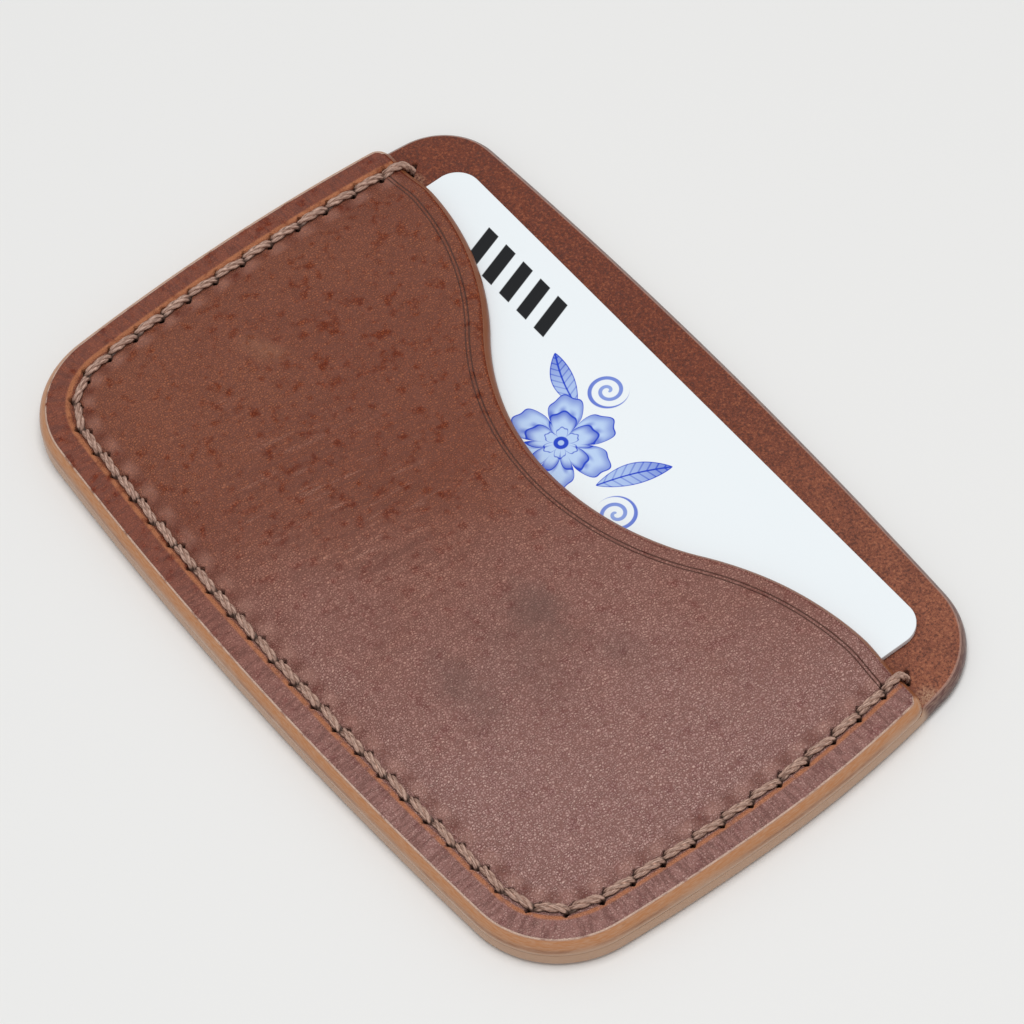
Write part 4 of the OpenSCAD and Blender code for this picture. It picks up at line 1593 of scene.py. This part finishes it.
# %% Material: card
def card_material():
    material, tree, shader, bumps = new_material("laminated card")
    z = xyz(tree, place_in_mm(tree))[2]
    cool_white, pale_blue, deep_blue = (0.895, 0.95, 0.98), (0.52, 0.68, 0.95), (0.012, 0.058, 0.60)
    ink_black, grey_core = (0.006, 0.007, 0.009), (0.78, 0.79, 0.80)
    colour = cool_white

    def motif(name, centre, turn, **sizes):
        nonlocal colour
        x, y, _ = xyz(tree, place_in_mm(tree, centre=(*centre, 0), turn=math.radians(turn)))
        made = use(tree, motifs[name], X=x, Y=y, **sizes)
        shade = Field(tree, made.outputs["Shade"])
        paint = Field(tree, made.outputs["Paint"])
        blue = blend_colour(tree, shade, pale_blue, deep_blue)
        colour = blend_colour(tree, paint, colour, blue)

    motif("curl", (-5.4, 21.3), 160, Size=2.0)
    motif("curl", (8.6, 11.4), -60, Size=2.0)
    motif("leaf", (-6.0, 17.2), 160, Length=8.2, Width=2.8)
    motif("leaf", (4.0, 12.0), 66, Length=9.2, Width=3.1)
    motif("flower", (-3.2, 12.7), 20)

    bar_step = 3.3
    x, y, _ = xyz(tree, place_in_mm(tree, centre=(-26, 23.0, 0)))
    slant = x + y * 0.35
    stripe = (slant * (1 / bar_step)).math("FRACT")
    bars = band(stripe, 0.10, 0.66, 0.02) * band(y, -2.7, 2.3, 0.05) * band(slant, -7.0, 9.2, 0.03)
    colour = blend_colour(tree, bars, colour, ink_black)
    on_face = soft(z, card_high[2] - 0.06, card_high[2] - 0.02)
    colour = blend_colour(tree, -on_face + 1, colour, grey_core)
    tree.links.new(colour, shader.inputs["Base Color"])
    rough = noise(tree, place_in_mm(tree), 0.08, detail=2, seed_z=9) * 0.06 + 0.30
    feed(tree, shader.inputs["Roughness"], rough)
    shader.inputs["Specular IOR Level"].default_value = 0.3
    shader.inputs["Coat Weight"].default_value = 0.1
    shader.inputs["Coat Roughness"].default_value = 0.1
    feed(tree, bumps.inputs["Height"], noise(tree, place_in_mm(tree), 0.05, detail=1, seed_z=4))
    bumps.inputs["Strength"].default_value = 0.3
    bumps.inputs["Distance"].default_value = 0.2 * MM
    return material


card.data.materials.append(card_material())
print("card:", len(card.data.materials[0].node_tree.nodes), "nodes")

# %% [markdown]
# ## Riding, floor, light and camera
#
# Both leathers and the thread ride on the wallet's body, and the card on its own, so that it slides out
# of the pocket. Each piece stands for the CAD node it was built round.

# %% Each piece on its body
for piece, body, node_name, slot_name in (
    (back, "wallet", "back_panel", "back_leather"),
    (front, "wallet", "front_panel", "front_leather"),
    (thread, "wallet", "sewing_thread", "waxed_thread"),
    (card, "card", "bank_card", "card_plastic"),
):
    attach(piece, body)
    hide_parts(node_name)
    print(piece.name, "rides on", body)

# %% [markdown]
# A pale matt table fills the view. The light is a studio's: one large soft box almost straight above,
# which puts a sheen on the leather, and an even pale surrounding that keeps the shadows light.

# %% Floor and light
def floor_plane():
    half = 1.6
    below = -0.05 * MM
    corner_points = [(x * half, y * half, below) for x, y in ((-1, -1), (1, -1), (1, 1), (-1, 1))]
    mesh = bpy.data.meshes.new("floor")
    mesh.from_pydata(corner_points, [], [(0, 1, 2, 3)])
    made = bpy.data.objects.new("floor", mesh)
    bpy.context.scene.collection.objects.link(made)
    material, tree, shader, bumps = new_material("pale table")
    shader.inputs["Base Color"].default_value = (0.86, 0.86, 0.85, 1)
    shader.inputs["Roughness"].default_value = 0.65
    feed(tree, bumps.inputs["Height"], noise(tree, place_in_mm(tree), 0.2, detail=3))
    bumps.inputs["Distance"].default_value = 0.02 * MM
    mesh.materials.append(material)
    return made


floor_plane()


def soft_box(name, toward, distance, size, watts):
    """A square lamp that looks at the origin from the direction toward, all in metres."""
    lamp = bpy.data.lights.new(name, "AREA")
    lamp.shape = "SQUARE"
    lamp.size = size
    lamp.energy = watts
    holder = bpy.data.objects.new(name, lamp)
    bpy.context.scene.collection.objects.link(holder)
    direction = Vector(toward).normalized()
    holder.location = direction * distance
    holder.rotation_euler = direction.to_track_quat("Z", "Y").to_euler()


soft_box("overhead soft box", (0.06, -0.02, 0.99), 0.75, 0.42, 2.85)
world = bpy.data.worlds.new("pale room")
world.use_nodes = True
world.node_tree.nodes["Background"].inputs["Color"].default_value = (1, 1, 1, 1)
world.node_tree.nodes["Background"].inputs["Strength"].default_value = 0.5
bpy.context.scene.world = world
bpy.context.scene.view_settings.view_transform = "Standard"
print("one soft box and a pale room")

# %% [markdown]
# The camera stands off one corner and looks down at about 56 degrees with a long lens, so the wallet's
# far side is hardly smaller than its near side.

# %% Camera
camera_place = Vector((283.66, -170.31, 491.50)) * MM
look_right = Vector((0.61041, 0.78858, -0.0745))
look_down = Vector((0.63059, -0.54072, -0.55676))
look_ahead = Vector((-0.47933, 0.29287, -0.82733))
lens = bpy.data.cameras.new("camera")
lens.lens = 183.0
lens.sensor_width = 36
lens.clip_start = 0.01
camera = bpy.data.objects.new("camera", lens)
bpy.context.scene.collection.objects.link(camera)
turned = Matrix((look_right, -look_down, -look_ahead)).transposed()
camera.matrix_world = Matrix.Translation(camera_place) @ turned.to_4x4()
bpy.context.scene.camera = camera
print("camera", round(camera_place.length / MM), "mm away, with a", round(lens.lens), "mm lens")
